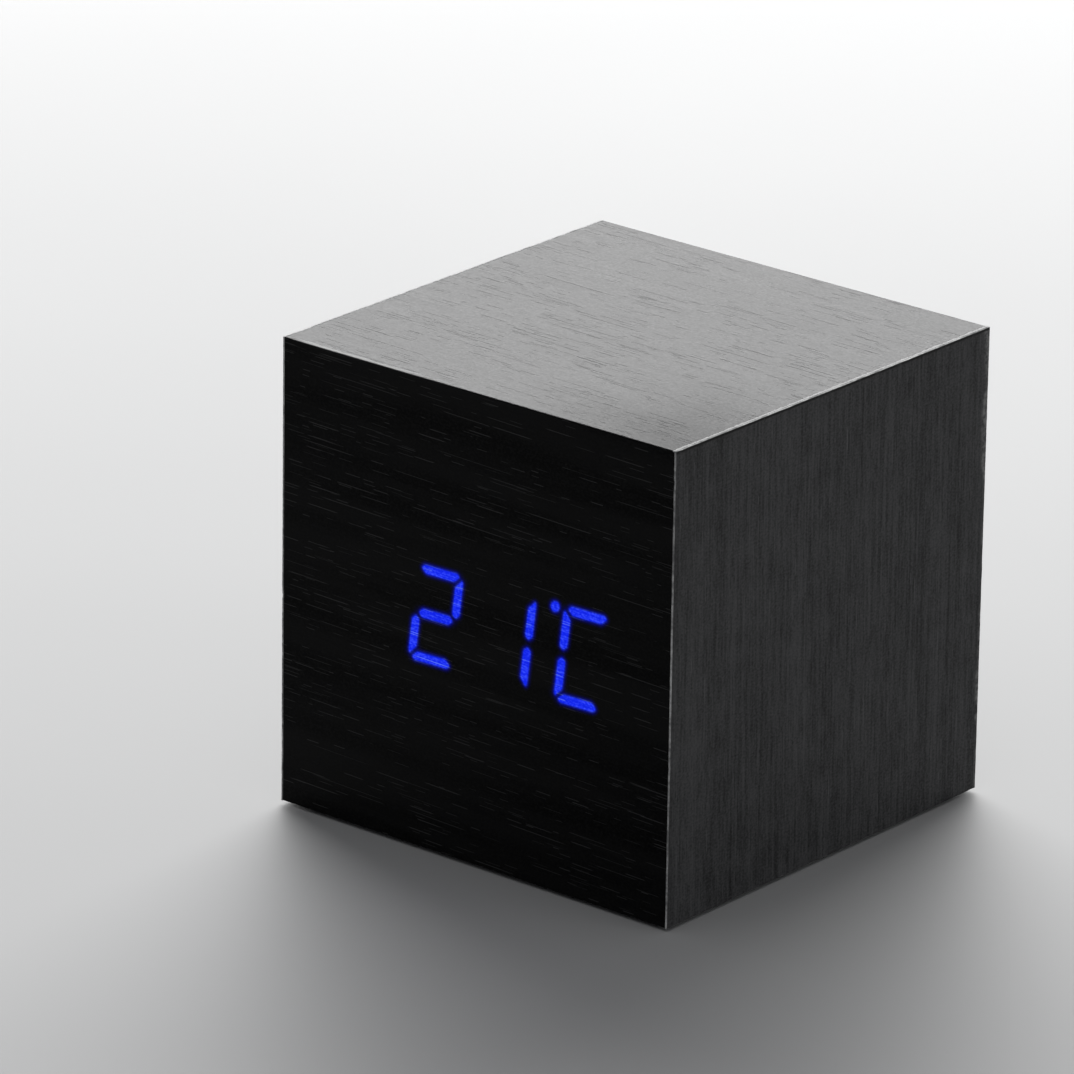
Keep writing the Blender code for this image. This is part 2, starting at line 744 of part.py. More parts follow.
def ribbon_cable():
    """The flat cable from the display board to the control board, sagging between them."""
    start_y = DISPLAY_BOARD_BACK + PLUG_SIZE[2] * 0.6
    start_z = (display_turn() @ Vector((RIBBON_X, 0, DISPLAY_Z - RIBBON_DROP))).z
    end_y = CONTROL_BOARD_FRONT - PLUG_SIZE[2] * 0.6
    end_z = PLATE_Z - CONTROL_RIBBON_DROP
    route = smooth_route(
        [
            (RIBBON_X, start_y, start_z),
            (RIBBON_X, start_y + 4.0 * MM, start_z),
            (RIBBON_X, start_y + 12.0 * MM, start_z - 4.0 * MM),
            (RIBBON_X, 2.0 * MM, start_z - 5.0 * MM),
            (RIBBON_X, end_y - 9.0 * MM, end_z - 5.0 * MM),
            (RIBBON_X, end_y - 3.5 * MM, end_z),
            (RIBBON_X, end_y, end_z),
        ],
        2.0 * MM,
    )
    shape = bmesh.new()
    rows = [
        [shape.verts.new(p + Vector((side * RIBBON_WIDTH / 2, 0, 0))) for side in (-1, 1)]
        for p in route
    ]
    for (a, b), (c, d) in zip(rows, rows[1:]):
        shape.faces.new((a, b, d, c))
    piece = place("ribbon_cable", mesh_from("ribbon_cable", shape), GREY_CABLE)
    thickness = piece.modifiers.new("sheet", "SOLIDIFY")
    thickness.thickness = RIBBON_THICKNESS
    thickness.offset = 0.0
    thickness.use_even_offset = True


# ---------------------------------------------------------------- controls
def control_plate():
    """The plate in the back recess, with its holes and the two bosses behind it."""
    mesh = plate_box(PLATE_SIZE, PLATE_INSIDE, PLATE_FACE, PLATE_CORNER - PLATE_FIT)
    mesh.name = "control_plate"
    plate = place("control_plate", mesh, BLACK_PLASTIC)
    near, far = CONTROL_BOARD_BACK + GLUE, BACK + BOARD
    bosses = []
    for sign in (-1, 1):
        x, z = sign * BOSS_AT[0], PLATE_Z + sign * BOSS_AT[1]
        bosses.append(((x, near, z), (x, PLATE_INSIDE + GLUE, z), BOSS_RADIUS))
    join(plate, cylinder_mesh("bosses", *bosses))
    rods = []
    for x in KEY_X.values():
        rods.append(((x, near, PLATE_Z), (x, far, PLATE_Z), KEY_RADIUS + KEY_FIT))
    x = SOCKET_X
    rods.append(((x, near, PLATE_Z), (x, far, PLATE_Z), SOCKET_RADIUS + KEY_FIT))
    x, z = SOUND_HOLE[0], PLATE_Z + SOUND_HOLE[1]
    rods.append(((x, near, z), (x, far, z), SOUND_HOLE_RADIUS))
    cut(plate, cylinder_mesh("key_holes", *rods, steps=ROUND_STEPS))
    slots = []
    for i in (-1, 0, 1):
        z = PLATE_Z + i * VENT_PITCH
        half = (VENT_SIZE[0] / 2, VENT_SIZE[1] / 2)
        slots.append(
            ((VENT_X - half[0], near, z - half[1]), (VENT_X + half[0], far, z + half[1]))
        )
    cut(plate, block_mesh("vents", *slots))
    return plate


def key(name, x):
    """A key cap, the switch under it and the switch's plunger."""
    flange_top = PLATE_INSIDE - KEY_GAP
    flange = KEY_FLANGE_THICKNESS
    reach = PLATE_FACE + KEY_PROUD - flange_top
    dome = 0.35 * MM
    profile = [
        (0.0, reach),
        (KEY_RADIUS - 2 * dome, reach),
        (KEY_RADIUS - 0.4 * dome, reach - 0.4 * dome),
        (KEY_RADIUS, reach - 1.2 * dome),
        (KEY_RADIUS, 0.0),
        (KEY_FLANGE, 0.0),
        (KEY_FLANGE, -flange),
        (0.0, -flange),
    ]
    turned(f"{name}_button", profile, (x, flange_top, PLATE_Z), (0, 1, 0), BLACK_PLASTIC)

    y = CONTROL_BOARD_BACK
    half = SWITCH_SIZE / 2
    mesh = rounded_block_mesh(
        f"{name}_switch",
        (x - half, y + GLUE, PLATE_Z - half),
        (x + half, y + SWITCH_HOUSING, PLATE_Z + half),
        0.5 * MM,
        1,
    )
    housing = place(f"{name}_switch", mesh, BLACK_PLASTIC)
    bore = PLUNGER_RADIUS + KEY_FIT
    well = y + 1.2 * MM
    cut(
        housing,
        cylinder_mesh("well", ((x, well, PLATE_Z), (x, y + 2 * SWITCH_HEIGHT, PLATE_Z), bore)),
    )
    rod = ((x, well + 1.0 * MM, PLATE_Z), (x, PLUNGER_TOP, PLATE_Z), PLUNGER_RADIUS)
    place(f"{name}_plunger", cylinder_mesh("plunger", rod), BROWN_PLASTIC)


def power_socket():
    """The barrel socket beside the keys, and the pin in its bore."""
    face = PLATE_FACE - 0.2 * MM
    back = CONTROL_BOARD_BACK + GLUE
    length = face - back
    floor = length - SOCKET_DEPTH
    lip = 0.3 * MM
    profile = [
        (0.0, floor),
        (SOCKET_BORE, floor),
        (SOCKET_BORE, length - lip),
        (SOCKET_BORE + lip, length),
        (SOCKET_RADIUS - lip / 2, length),
        (SOCKET_RADIUS, length - lip / 2),
        (SOCKET_RADIUS, 0.0),
        (0.0, 0.0),
    ]
    turned("power_socket", profile, (SOCKET_X, back, PLATE_Z), (0, 1, 0), BLACK_PLASTIC)
    base = back + floor + GLUE
    tip = face - 1.0 * MM
    profile = [
        (0.0, tip - base),
        (SOCKET_PIN * 0.6, tip - base - 0.1 * MM),
        (SOCKET_PIN, tip - base - 0.5 * MM),
        (SOCKET_PIN, 0.0),
        (0.0, 0.0),
    ]
    turned(
        "power_socket_pin", profile, (SOCKET_X, base, PLATE_Z), (0, 1, 0), STEEL, SMALL_STEPS
    )


def control_board(plate):
    """The main circuit board behind the plate, and what is soldered to it."""
    half = (CONTROL_BOARD_SIZE[0] / 2, CONTROL_BOARD_SIZE[1] / 2)
    mesh = block_mesh(
        "control_board",
        (
            (-half[0], CONTROL_BOARD_FRONT, PLATE_Z - half[1]),
            (half[0], CONTROL_BOARD_BACK, PLATE_Z + half[1]),
        ),
    )
    board = place("control_board", mesh, GREEN_BOARD)
    head = CONTROL_BOARD_FRONT - GLUE
    for number, sign in ((1, -1), (2, 1)):
        at = (sign * BOSS_AT[0], head, PLATE_Z + sign * BOSS_AT[1])
        screw(f"control_screw_{number}", at, (0, -1, 0))
        screw_hole(board, at, (0, 1, 0))
        screw_hole(plate, at, (0, 1, 0))
    inside = CONTROL_BOARD_FRONT
    chip("microcontroller", (3.0 * MM, inside, PLATE_Z + 1.0 * MM), -1, 14)
    plug_block("control_connector", (RIBBON_X, inside, PLATE_Z - CONTROL_RIBBON_DROP), -1)
    on_board_cylinders(inside)
    temperature_sensor()


def on_board_cylinders(inside):
    """The buzzer, the capacitor, the clock crystal and the microphone."""
    y = inside - GLUE
    at = (-15.0 * MM, y, PLATE_Z + 4.5 * MM)
    profile = [
        (0.9 * MM, 3.0 * MM),
        (0.9 * MM, 4.6 * MM),
        (5.4 * MM, 4.6 * MM),
        (6.0 * MM, 4.0 * MM),
        (6.0 * MM, 0.0),
        (0.0, 0.0),
    ]
    turned("buzzer", [(0.0, 3.0 * MM), *profile], at, (0, -1, 0), BLACK_PLASTIC)
    at = (19.0 * MM, y, PLATE_Z - 3.0 * MM)
    profile = [
        (0.0, 7.0 * MM),
        (2.2 * MM, 7.0 * MM),
        (2.5 * MM, 6.7 * MM),
        (2.5 * MM, 1.6 * MM),
        (2.25 * MM, 1.3 * MM),
        (2.5 * MM, 1.0 * MM),
        (2.5 * MM, 0.0),
        (0.0, 0.0),
    ]
    turned("smoothing_capacitor", profile, at, (0, -1, 0), ALUMINIUM, SMALL_STEPS)
    at = (2.0 * MM, y - 1.1 * MM, PLATE_Z - 7.5 * MM)
    profile = [
        (0.0, 6.0 * MM),
        (0.8 * MM, 6.0 * MM),
        (1.0 * MM, 5.8 * MM),
        (1.0 * MM, 0.0),
        (0.0, 0.0),
    ]
    turned("clock_crystal", profile, at, (1, 0, 0), STEEL, SMALL_STEPS)
    at = (SOUND_HOLE[0], CONTROL_BOARD_BACK + GLUE, PLATE_Z + SOUND_HOLE[1])
    profile = [
        (0.0, 2.4 * MM),
        (2.2 * MM, 2.4 * MM),
        (2.4 * MM, 2.7 * MM),
        (2.8 * MM, 2.7 * MM),
        (3.0 * MM, 2.5 * MM),
        (3.0 * MM, 0.0),
        (0.0, 0.0),
    ]
    turned("microphone", profile, at, (0, 1, 0), ALUMINIUM, SMALL_STEPS)


def temperature_sensor():
    """A thermistor: a glass bead held up behind the vents by its two legs."""
    bead_y = PLATE_INSIDE - 1.6 * MM
    shape = bmesh.new()
    spread, leg, bead = 0.8 * MM, 0.25 * MM, 1.2 * MM
    bmesh.ops.create_uvsphere(
        shape,
        u_segments=16,
        v_segments=10,
        radius=bead,
        matrix=Matrix.Translation((VENT_X, bead_y, PLATE_Z)),
    )
    piece = place("temperature_sensor", mesh_from("sensor", shape), BROWN_PLASTIC)
    foot = CONTROL_BOARD_BACK + GLUE
    for sign in (-1, 1):
        x = VENT_X + sign * spread
        join(piece, cylinder_mesh("leg", ((x, foot, PLATE_Z), (x, bead_y, PLATE_Z), leg), steps=8))


# ---------------------------------------------------------------- power
def battery_tray():
    """The tray in the base: an upside-down box with tab slots, a catch and slots for two tags."""
    half = [side / 2 for side in TRAY_INSIDE]
    outer = [side + TRAY_WALL for side in half]
    mesh = rounded_block_mesh(
        "battery_tray",
        (-outer[0], -outer[1], TRAY_BOTTOM),
        (outer[0], outer[1], TRAY_TOP),
        0.8 * MM,
        2,
    )
    tray = place("battery_tray", mesh, BLACK_PLASTIC)
    inside = ((-half[0], -half[1], -BOARD), (half[0], half[1], TRAY_ROOF))
    cut(tray, block_mesh("inside", inside))
    slots = []
    for sign in (-1, 1):
        x, reach = sign * TAB_X, TAB_SIZE[0] / 2 + DOOR_GAP
        low = DOOR_TOP - TAB_SIZE[2] - 0.2 * MM
        slots.append(
            ((x - reach, half[1] - GLUE, low), (x + reach, outer[1] + GLUE, low + 2.4 * MM))
        )
    catch = LATCH_WIDTH / 2 + DOOR_GAP
    slots.append(
        (
            (-catch, -half[1] - 0.8 * MM, DOOR_TOP + 0.1 * MM),
            (catch, -half[1] + GLUE, DOOR_TOP + 1.5 * MM),
        )
    )
    for y in (-1.5 * CELL_PITCH, 1.5 * CELL_PITCH):
        tag = half[0] - CONTACT / 2 - GLUE
        slots.append(
            ((tag - 0.5 * MM, y - 1.4 * MM, TRAY_ROOF - GLUE), (tag + 0.5 * MM, y + 1.4 * MM, TOP))
        )
    cut(tray, block_mesh("slots", *slots))
    rests = []
    for sign in (-1, 1):
        low, high = sorted((sign * (half[0] - 0.6 * MM), sign * (half[0] + GLUE)))
        rests.append(((low, -12.0 * MM, DOOR_TOP + GLUE), (high, 12.0 * MM, DOOR_TOP + 0.5 * MM)))
    join(tray, block_mesh("rests", *rests))


def battery_door():
    """The door, with two tabs at its hinge edge, a sprung latch opposite and a grip."""
    half = [side / 2 - DOOR_GAP for side in TRAY_INSIDE]
    mesh = rounded_block_mesh(
        "battery_door",
        (-half[0], -half[1], TRAY_BOTTOM),
        (half[0], half[1], DOOR_TOP),
        DOOR_CORNER,
        2,
    )
    door = place("battery_door", mesh, BLACK_PLASTIC)
    door.data.transform(Matrix.Translation((0, -HINGE_Y, -TRAY_BOTTOM)))
    door.location = (0, HINGE_Y, TRAY_BOTTOM)
    notch = LATCH_WIDTH / 2 + 0.8 * MM
    depth = 4.6 * MM
    cut(
        door,
        block_mesh("notch", ((-notch, -half[1] - BOARD, -BOARD), (notch, -half[1] + depth, BOARD))),
    )
    ridges = []
    for i in range(4):
        y = -half[1] + 7.5 * MM + i * 1.6 * MM
        ridges.append(
            ((-6.0 * MM, y, TRAY_BOTTOM - BOARD), (6.0 * MM, y + 0.7 * MM, TRAY_BOTTOM + 0.35 * MM))
        )
    cut(door, block_mesh("grip", *ridges))
    tabs = []
    for sign in (-1, 1):
        x, reach = sign * TAB_X, TAB_SIZE[0] / 2
        near, far = half[1] - 0.5 * MM, half[1] + TAB_SIZE[1]
        low = DOOR_TOP - TAB_SIZE[2]
        tabs.append(((x - reach, near, low), (x + reach, far, DOOR_TOP)))
    join(door, block_mesh("tabs", *tabs))
    join(door, latch_mesh(-half[1], depth))
    return door


def latch_mesh(edge, depth):
    """The latch: a tongue from the notch that bends up, over and down to a thumb pad."""
    low, top = TRAY_BOTTOM, DOOR_TOP
    wall = 0.55 * MM
    crest = top + 1.5 * MM
    outline = [
        (edge + depth + 0.4 * MM, low + 0.5 * MM),
        (edge + depth + 0.4 * MM, top),
        (edge + 2.1 * MM, top),
        (edge + 2.1 * MM, crest - wall),
        (edge + 1.5 * MM, crest),
        (edge + 0.5 * MM, crest),
        (edge, crest - wall),
        (edge - 0.05 * MM, top + 0.6 * MM),
        (edge + 0.1 * MM, top),
        (edge + 0.1 * MM, low + 0.2 * MM),
        (edge + wall + 0.1 * MM, low + 0.2 * MM),
        (edge + wall + 0.1 * MM, crest - 1.5 * wall),
        (edge + 2.1 * MM - wall, crest - 1.5 * wall),
        (edge + 2.1 * MM - wall, low + 0.5 * MM),
    ]
    return drawn_along_x("latch", [outline], LATCH_WIDTH / 2)


def cells():
    """Four AAA cells side by side, each turned end for end from the last."""
    nub_radius, nub_height = CELL_NUB
    body = CELL_LENGTH - nub_height
    shoulder = 0.4 * MM
    profile = [
        (0.0, CELL_LENGTH),
        (nub_radius - 0.2 * MM, CELL_LENGTH),
        (nub_radius, CELL_LENGTH - 0.2 * MM),
        (nub_radius, body),
        (CELL_RADIUS - shoulder, body),
        (CELL_RADIUS, body - shoulder),
        (CELL_RADIUS, shoulder / 2),
        (CELL_RADIUS - shoulder, 0.0),
        (0.0, 0.0),
    ]
    plus_end = TRAY_INSIDE[0] / 2 - GLUE - CONTACT - 0.8 * MM
    for number in range(1, 5):
        sign = 1 if number % 2 else -1
        base = sign * (plus_end - CELL_LENGTH)
        turned(
            f"cell_{number}",
            profile,
            (base, cell_y(number), CELL_Z),
            (sign, 0, 0),
            CELL_SLEEVE,
            24,
        )


def cell_y(number):
    return (number - 2.5) * CELL_PITCH


def spring_points(sign, y):
    """A coil that narrows from the contact to the flat end of a cell."""
    inner_face = TRAY_INSIDE[0] / 2 - GLUE - CONTACT
    length = TRAY_INSIDE[0] - 2 * GLUE - 2 * CONTACT - 0.8 * MM - CELL_LENGTH - 0.4 * MM
    count = round(SPRING_TURNS * 10)
    points = []
    for i in range(count + 1):
        share = i / count
        angle = 2 * math.pi * SPRING_TURNS * share
        radius = SPRING_RADII[0] + (SPRING_RADII[1] - SPRING_RADII[0]) * share
        along = inner_face + 0.1 * MM - (length - SPRING_WIRE) * share
        points.append(
            (sign * along, y + radius * math.cos(angle), CELL_Z + radius * math.sin(angle))
        )
    return points


def contact(name, sign, first, last, spring_at=None, dimple_at=None, tag=False):
    """A plated spring-steel contact on one end wall, behind cells first to last."""
    outer = TRAY_INSIDE[0] / 2 - GLUE
    inner = outer - CONTACT
    ends = sorted((sign * inner, sign * outer))
    left = cell_y(first) - CONTACT_SIZE[0] / 2
    right = cell_y(last) + CONTACT_SIZE[0] / 2
    low, high = CELL_Z - CONTACT_SIZE[1] / 2, CELL_Z + CONTACT_SIZE[1] / 2
    mesh = block_mesh(name, ((ends[0], left, low), (ends[1], right, high)))
    piece = place(name, mesh, STEEL)
    if dimple_at:
        y = cell_y(dimple_at)
        depth = 0.5 * MM
        rod = ((sign * outer, y, CELL_Z), (sign * (inner - depth), y, CELL_Z), 1.5 * MM)
        join(piece, cylinder_mesh("dimple", rod))
    if spring_at:
        curve = wire_curve("spring", spring_points(sign, cell_y(spring_at)), SPRING_WIRE)
        join(piece, mesh_of_curve("spring", curve))
    if tag:
        y = cell_y(first)
        half = 1.0 * MM
        join(
            piece,
            block_mesh("tag", ((ends[0], y - half, high - GLUE), (ends[1], y + half, TAG_TOP))),
        )


def contacts():
    contact("positive_contact", 1, 1, 1, dimple_at=1, tag=True)
    contact("bridge_contact_1", -1, 1, 2, spring_at=1, dimple_at=2)
    contact("bridge_contact_2", 1, 2, 3, spring_at=2, dimple_at=3)
    contact("bridge_contact_3", -1, 3, 4, spring_at=3, dimple_at=4)
    contact("negative_contact", 1, 4, 4, spring_at=4, tag=True)


def lead(name, cell, end_x, finish):
    """An insulated wire from a contact's tag up to the control board."""
    x = TRAY_INSIDE[0] / 2 - GLUE - CONTACT / 2
    y = cell_y(cell)
    end = Vector((end_x, CONTROL_BOARD_FRONT - 3 * GLUE, PLATE_Z - 10.0 * MM))
    start = Vector((x, y, TAG_TOP + 3 * GLUE))
    up = Vector((0, 0, 1))
    back = Vector((0, -1, 0))
    route = [
        start,
        start + 4.0 * MM * up,
        start.lerp(end, 0.35) + 2.5 * MM * up,
        start.lerp(end, 0.7) + 1.5 * MM * back,
        end + 4.0 * MM * back,
        end,
    ]
    place(name, wire_curve(name, smooth_route(route, 1.6 * MM), LEAD_RADIUS), finish)


# ---------------------------------------------------------------- the clock
for old in list(bpy.data.objects):
    bpy.data.objects.remove(old)

PARTS = collection("cube_clock")
HELPERS = collection("helpers")

WRAP_VENEER = material("wrap_veneer", (0.012, 0.012, 0.013), 0.38)
SIDE_VENEER = material("side_veneer", (0.018, 0.018, 0.019), 0.42)
FIBREBOARD = material("fibreboard", (0.30, 0.20, 0.11), 0.85)
BLACK_PLASTIC = material("black_plastic", (0.015, 0.015, 0.016), 0.45)
BROWN_PLASTIC = material("brown_plastic", (0.10, 0.05, 0.03), 0.4)
WHITE_PLASTIC = material("white_plastic", (0.75, 0.73, 0.68), 0.45)
CLEAR_GUIDE = material("unlit_guide", (0.55, 0.57, 0.60), 0.35)
LIT_GUIDE = material("lit_guide", (0.02, 0.08, 1.0), 0.35, glow=2.0)
GREEN_BOARD = material("circuit_board", (0.01, 0.09, 0.04), 0.4)
GREY_CABLE = material("ribbon_cable", (0.35, 0.35, 0.37), 0.5)
STEEL = material("plated_steel", (0.62, 0.61, 0.58), 0.28, metallic=1.0)
ALUMINIUM = material("aluminium", (0.70, 0.71, 0.73), 0.35, metallic=1.0)
CELL_SLEEVE = material("cell_sleeve", (0.05, 0.13, 0.20), 0.3)
RED_WIRE = material("red_wire", (0.55, 0.02, 0.02), 0.4)
BLACK_WIRE = material("black_wire", (0.02, 0.02, 0.02), 0.4)
RUBBER = material("foot_rubber", (0.02, 0.02, 0.02), 0.8)

front_board, back_board, bottom_board = case_boards()
side_panels()
case_openings(front_board, back_board, bottom_board, wrap_veneer())
feet()

display_module()
display_board(front_board)
for piece_name in DISPLAY_PIECES:
    tilt_with_display(piece_name)

control_board(control_plate())
for key_name, key_x in KEY_X.items():
    key(key_name, key_x)
power_socket()
ribbon_cable()

battery_tray()
battery_door()
cells()
contacts()
lead("positive_lead", 1, 12.0 * MM, RED_WIRE)
lead("negative_lead", 4, 17.0 * MM, BLACK_WIRE)
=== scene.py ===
"""Looks for the wood-veneer cube clock: its materials, its lit display, light and camera."""

import json
import math

import bmesh
import bpy
from mathutils import Matrix, Vector, geometry, noise


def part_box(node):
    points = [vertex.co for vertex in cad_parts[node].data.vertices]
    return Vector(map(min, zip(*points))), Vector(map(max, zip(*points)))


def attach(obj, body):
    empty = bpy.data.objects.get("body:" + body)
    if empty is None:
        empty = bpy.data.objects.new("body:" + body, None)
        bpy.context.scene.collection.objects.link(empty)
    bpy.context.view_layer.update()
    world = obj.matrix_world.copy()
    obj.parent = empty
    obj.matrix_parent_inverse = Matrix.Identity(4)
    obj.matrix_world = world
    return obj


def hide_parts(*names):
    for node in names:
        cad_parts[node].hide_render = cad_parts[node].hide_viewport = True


MM = 0.001

# ---------------------------------------------------------------- camera and light
CAMERA_AT = (723.3 * MM, -891.5 * MM, 464.35 * MM)
CAMERA_AZIMUTH = 39.7088
CAMERA_ELEVATION = 20.3821
CAMERA_ROLL = 0.8275
CAMERA_LENS = 302.82
SENSOR_WIDTH = 36.0
CLIP_START = 0.01
FLOOR_SIZE = 12.0
FLOOR_COLOUR = (0.36, 0.36, 0.36)
WORLD_COLOUR = (0.93, 0.95, 1.0)
WORLD_STRENGTH = 0.20
LIGHTS = (
    # name, place, what it points at, size, brightness to the eye
    ("rear_window", (-0.70, 0.84, 0.50), (0, 0, 0.05), (1.5, 0.9), 8.2),
    ("overhead", (0.10, -0.30, 1.30), (0, 0, 0), (1.4, 1.4), 0.55),
    ("side_fill", (1.30, 0.25, 0.45), (0, 0, 0.03), (0.9, 0.7), 1.2),
)

# ---------------------------------------------------------------- display
SEGMENT_OFFSETS = {
    "a": (0.8 * MM, 6.4 * MM),
    "b": (3.9 * MM, 3.4 * MM),
    "c": (3.1 * MM, -3.4 * MM),
    "d": (-0.8 * MM, -6.4 * MM),
    "e": (-3.9 * MM, -3.4 * MM),
    "f": (-3.1 * MM, 3.4 * MM),
    "g": (0.0, 0.0),
}
DIGIT_PITCH = 12.7 * MM
MIDDLE_DIGIT = 2.5
LIT = {2: "abged", 3: "bc", 4: "afed"}
DEGREE_AT = (7.85 * MM, 6.3 * MM)
NEAR_BAR = 8.0 * MM
LIT_GROWTH = 0.06 * MM
LIT_CORNER = 0.42 * MM
LIT_STEP = 0.30 * MM
GLOW_CORE = -0.24 * MM
GLOW_REACH = 0.64 * MM
GLOW_FADE = 0.15 * MM
GLOW_RINGS = (0.0, 0.4, 1.0)
GLOW_GAP_SHARE = 0.45
FENCE = 1.05 * MM
FENCE_STEP = 0.6 * MM
GLOW_SPAN = (GLOW_REACH - GLOW_CORE) / GLOW_FADE
GLOW_RIM = (0.0, 0.001, 1.0)
GLOW_DEEP = (0.004, 0.020, 1.0)
GLOW_PALE = (0.10, 0.18, 1.0)

# ---------------------------------------------------------------- colours of the wood
GRAIN_SLOPE = math.tan(math.radians(1.3))
PORES = (
    # longest cell, spacing across the grain, width, seed, strength
    (18.0 * MM, 1.5 * MM, 0.13 * MM, 0.0, None),
    (10.0 * MM, 0.9 * MM, 0.13 * MM, 5.3, None),
    (5.0 * MM, 0.6 * MM, 0.12 * MM, 9.1, 0.9),
)
WRAP_DARK = (0.0012, 0.0012, 0.0013)
WRAP_LIGHT = (0.0070, 0.0070, 0.0071)
WRAP_STREAK = (0.0105, 0.0105, 0.0106)
# Pale grey of the pores: painted highlight, the light that their groove walls catch
PORE_HIGHLIGHT_GREY = (0.052, 0.052, 0.052)
# Pale grey for real wear at the right end of the top, also used for the painted highlight by the
# front fold
WORN_AND_HIGHLIGHT_GREY = (0.50, 0.50, 0.493)
WRAP_BUMP = 0.06 * MM
SIDE_DARK = (0.0110, 0.0110, 0.0112)
SIDE_LIGHT = (0.086, 0.0863, 0.0878)
SIDE_GLINT = (0.12, 0.12, 0.123)
SIDE_BUMP = 0.012 * MM
RAW_DARK = (0.19, 0.19, 0.19)
RAW_LIGHT = (0.66, 0.66, 0.65)
SCUFF_GREY = (0.26, 0.26, 0.255)
# Painted shadow in the seam just under the top edge of the side sheets
SEAM_SHADOW_BLACK = (0.004, 0.004, 0.004)

# ---------------------------------------------------------------- mesh settings
WELD = 0.001 * MM
STRAIGHT = 0.99999
FILL_MERGE = 1e-5
FAINTEST = 1e-9
ON_FRONT = 0.002 * MM
ON_GUIDE = 0.01 * MM
CORNER_SHARE = 0.45
FLAT_WEIGHT = 100
EDGE_STEP = 0.6 * MM
EDGE_ROUND = 0.09 * MM
EDGE_WOBBLE = 0.045 * MM
WOBBLE_SIZE = 1.7 * MM
CHIP_ABOVE = 0.55
CHIP_SLOPE = 0.6 * MM
CHIP_DEPTH = 0.08 * MM
WEAR_FADE = 1.0 * MM
CELL_STEPS = 48
SLEEVE, STEEL = 0, 1
MARK_DROP = 2.0 * MM
MARK_THICKNESS = 0.03 * MM


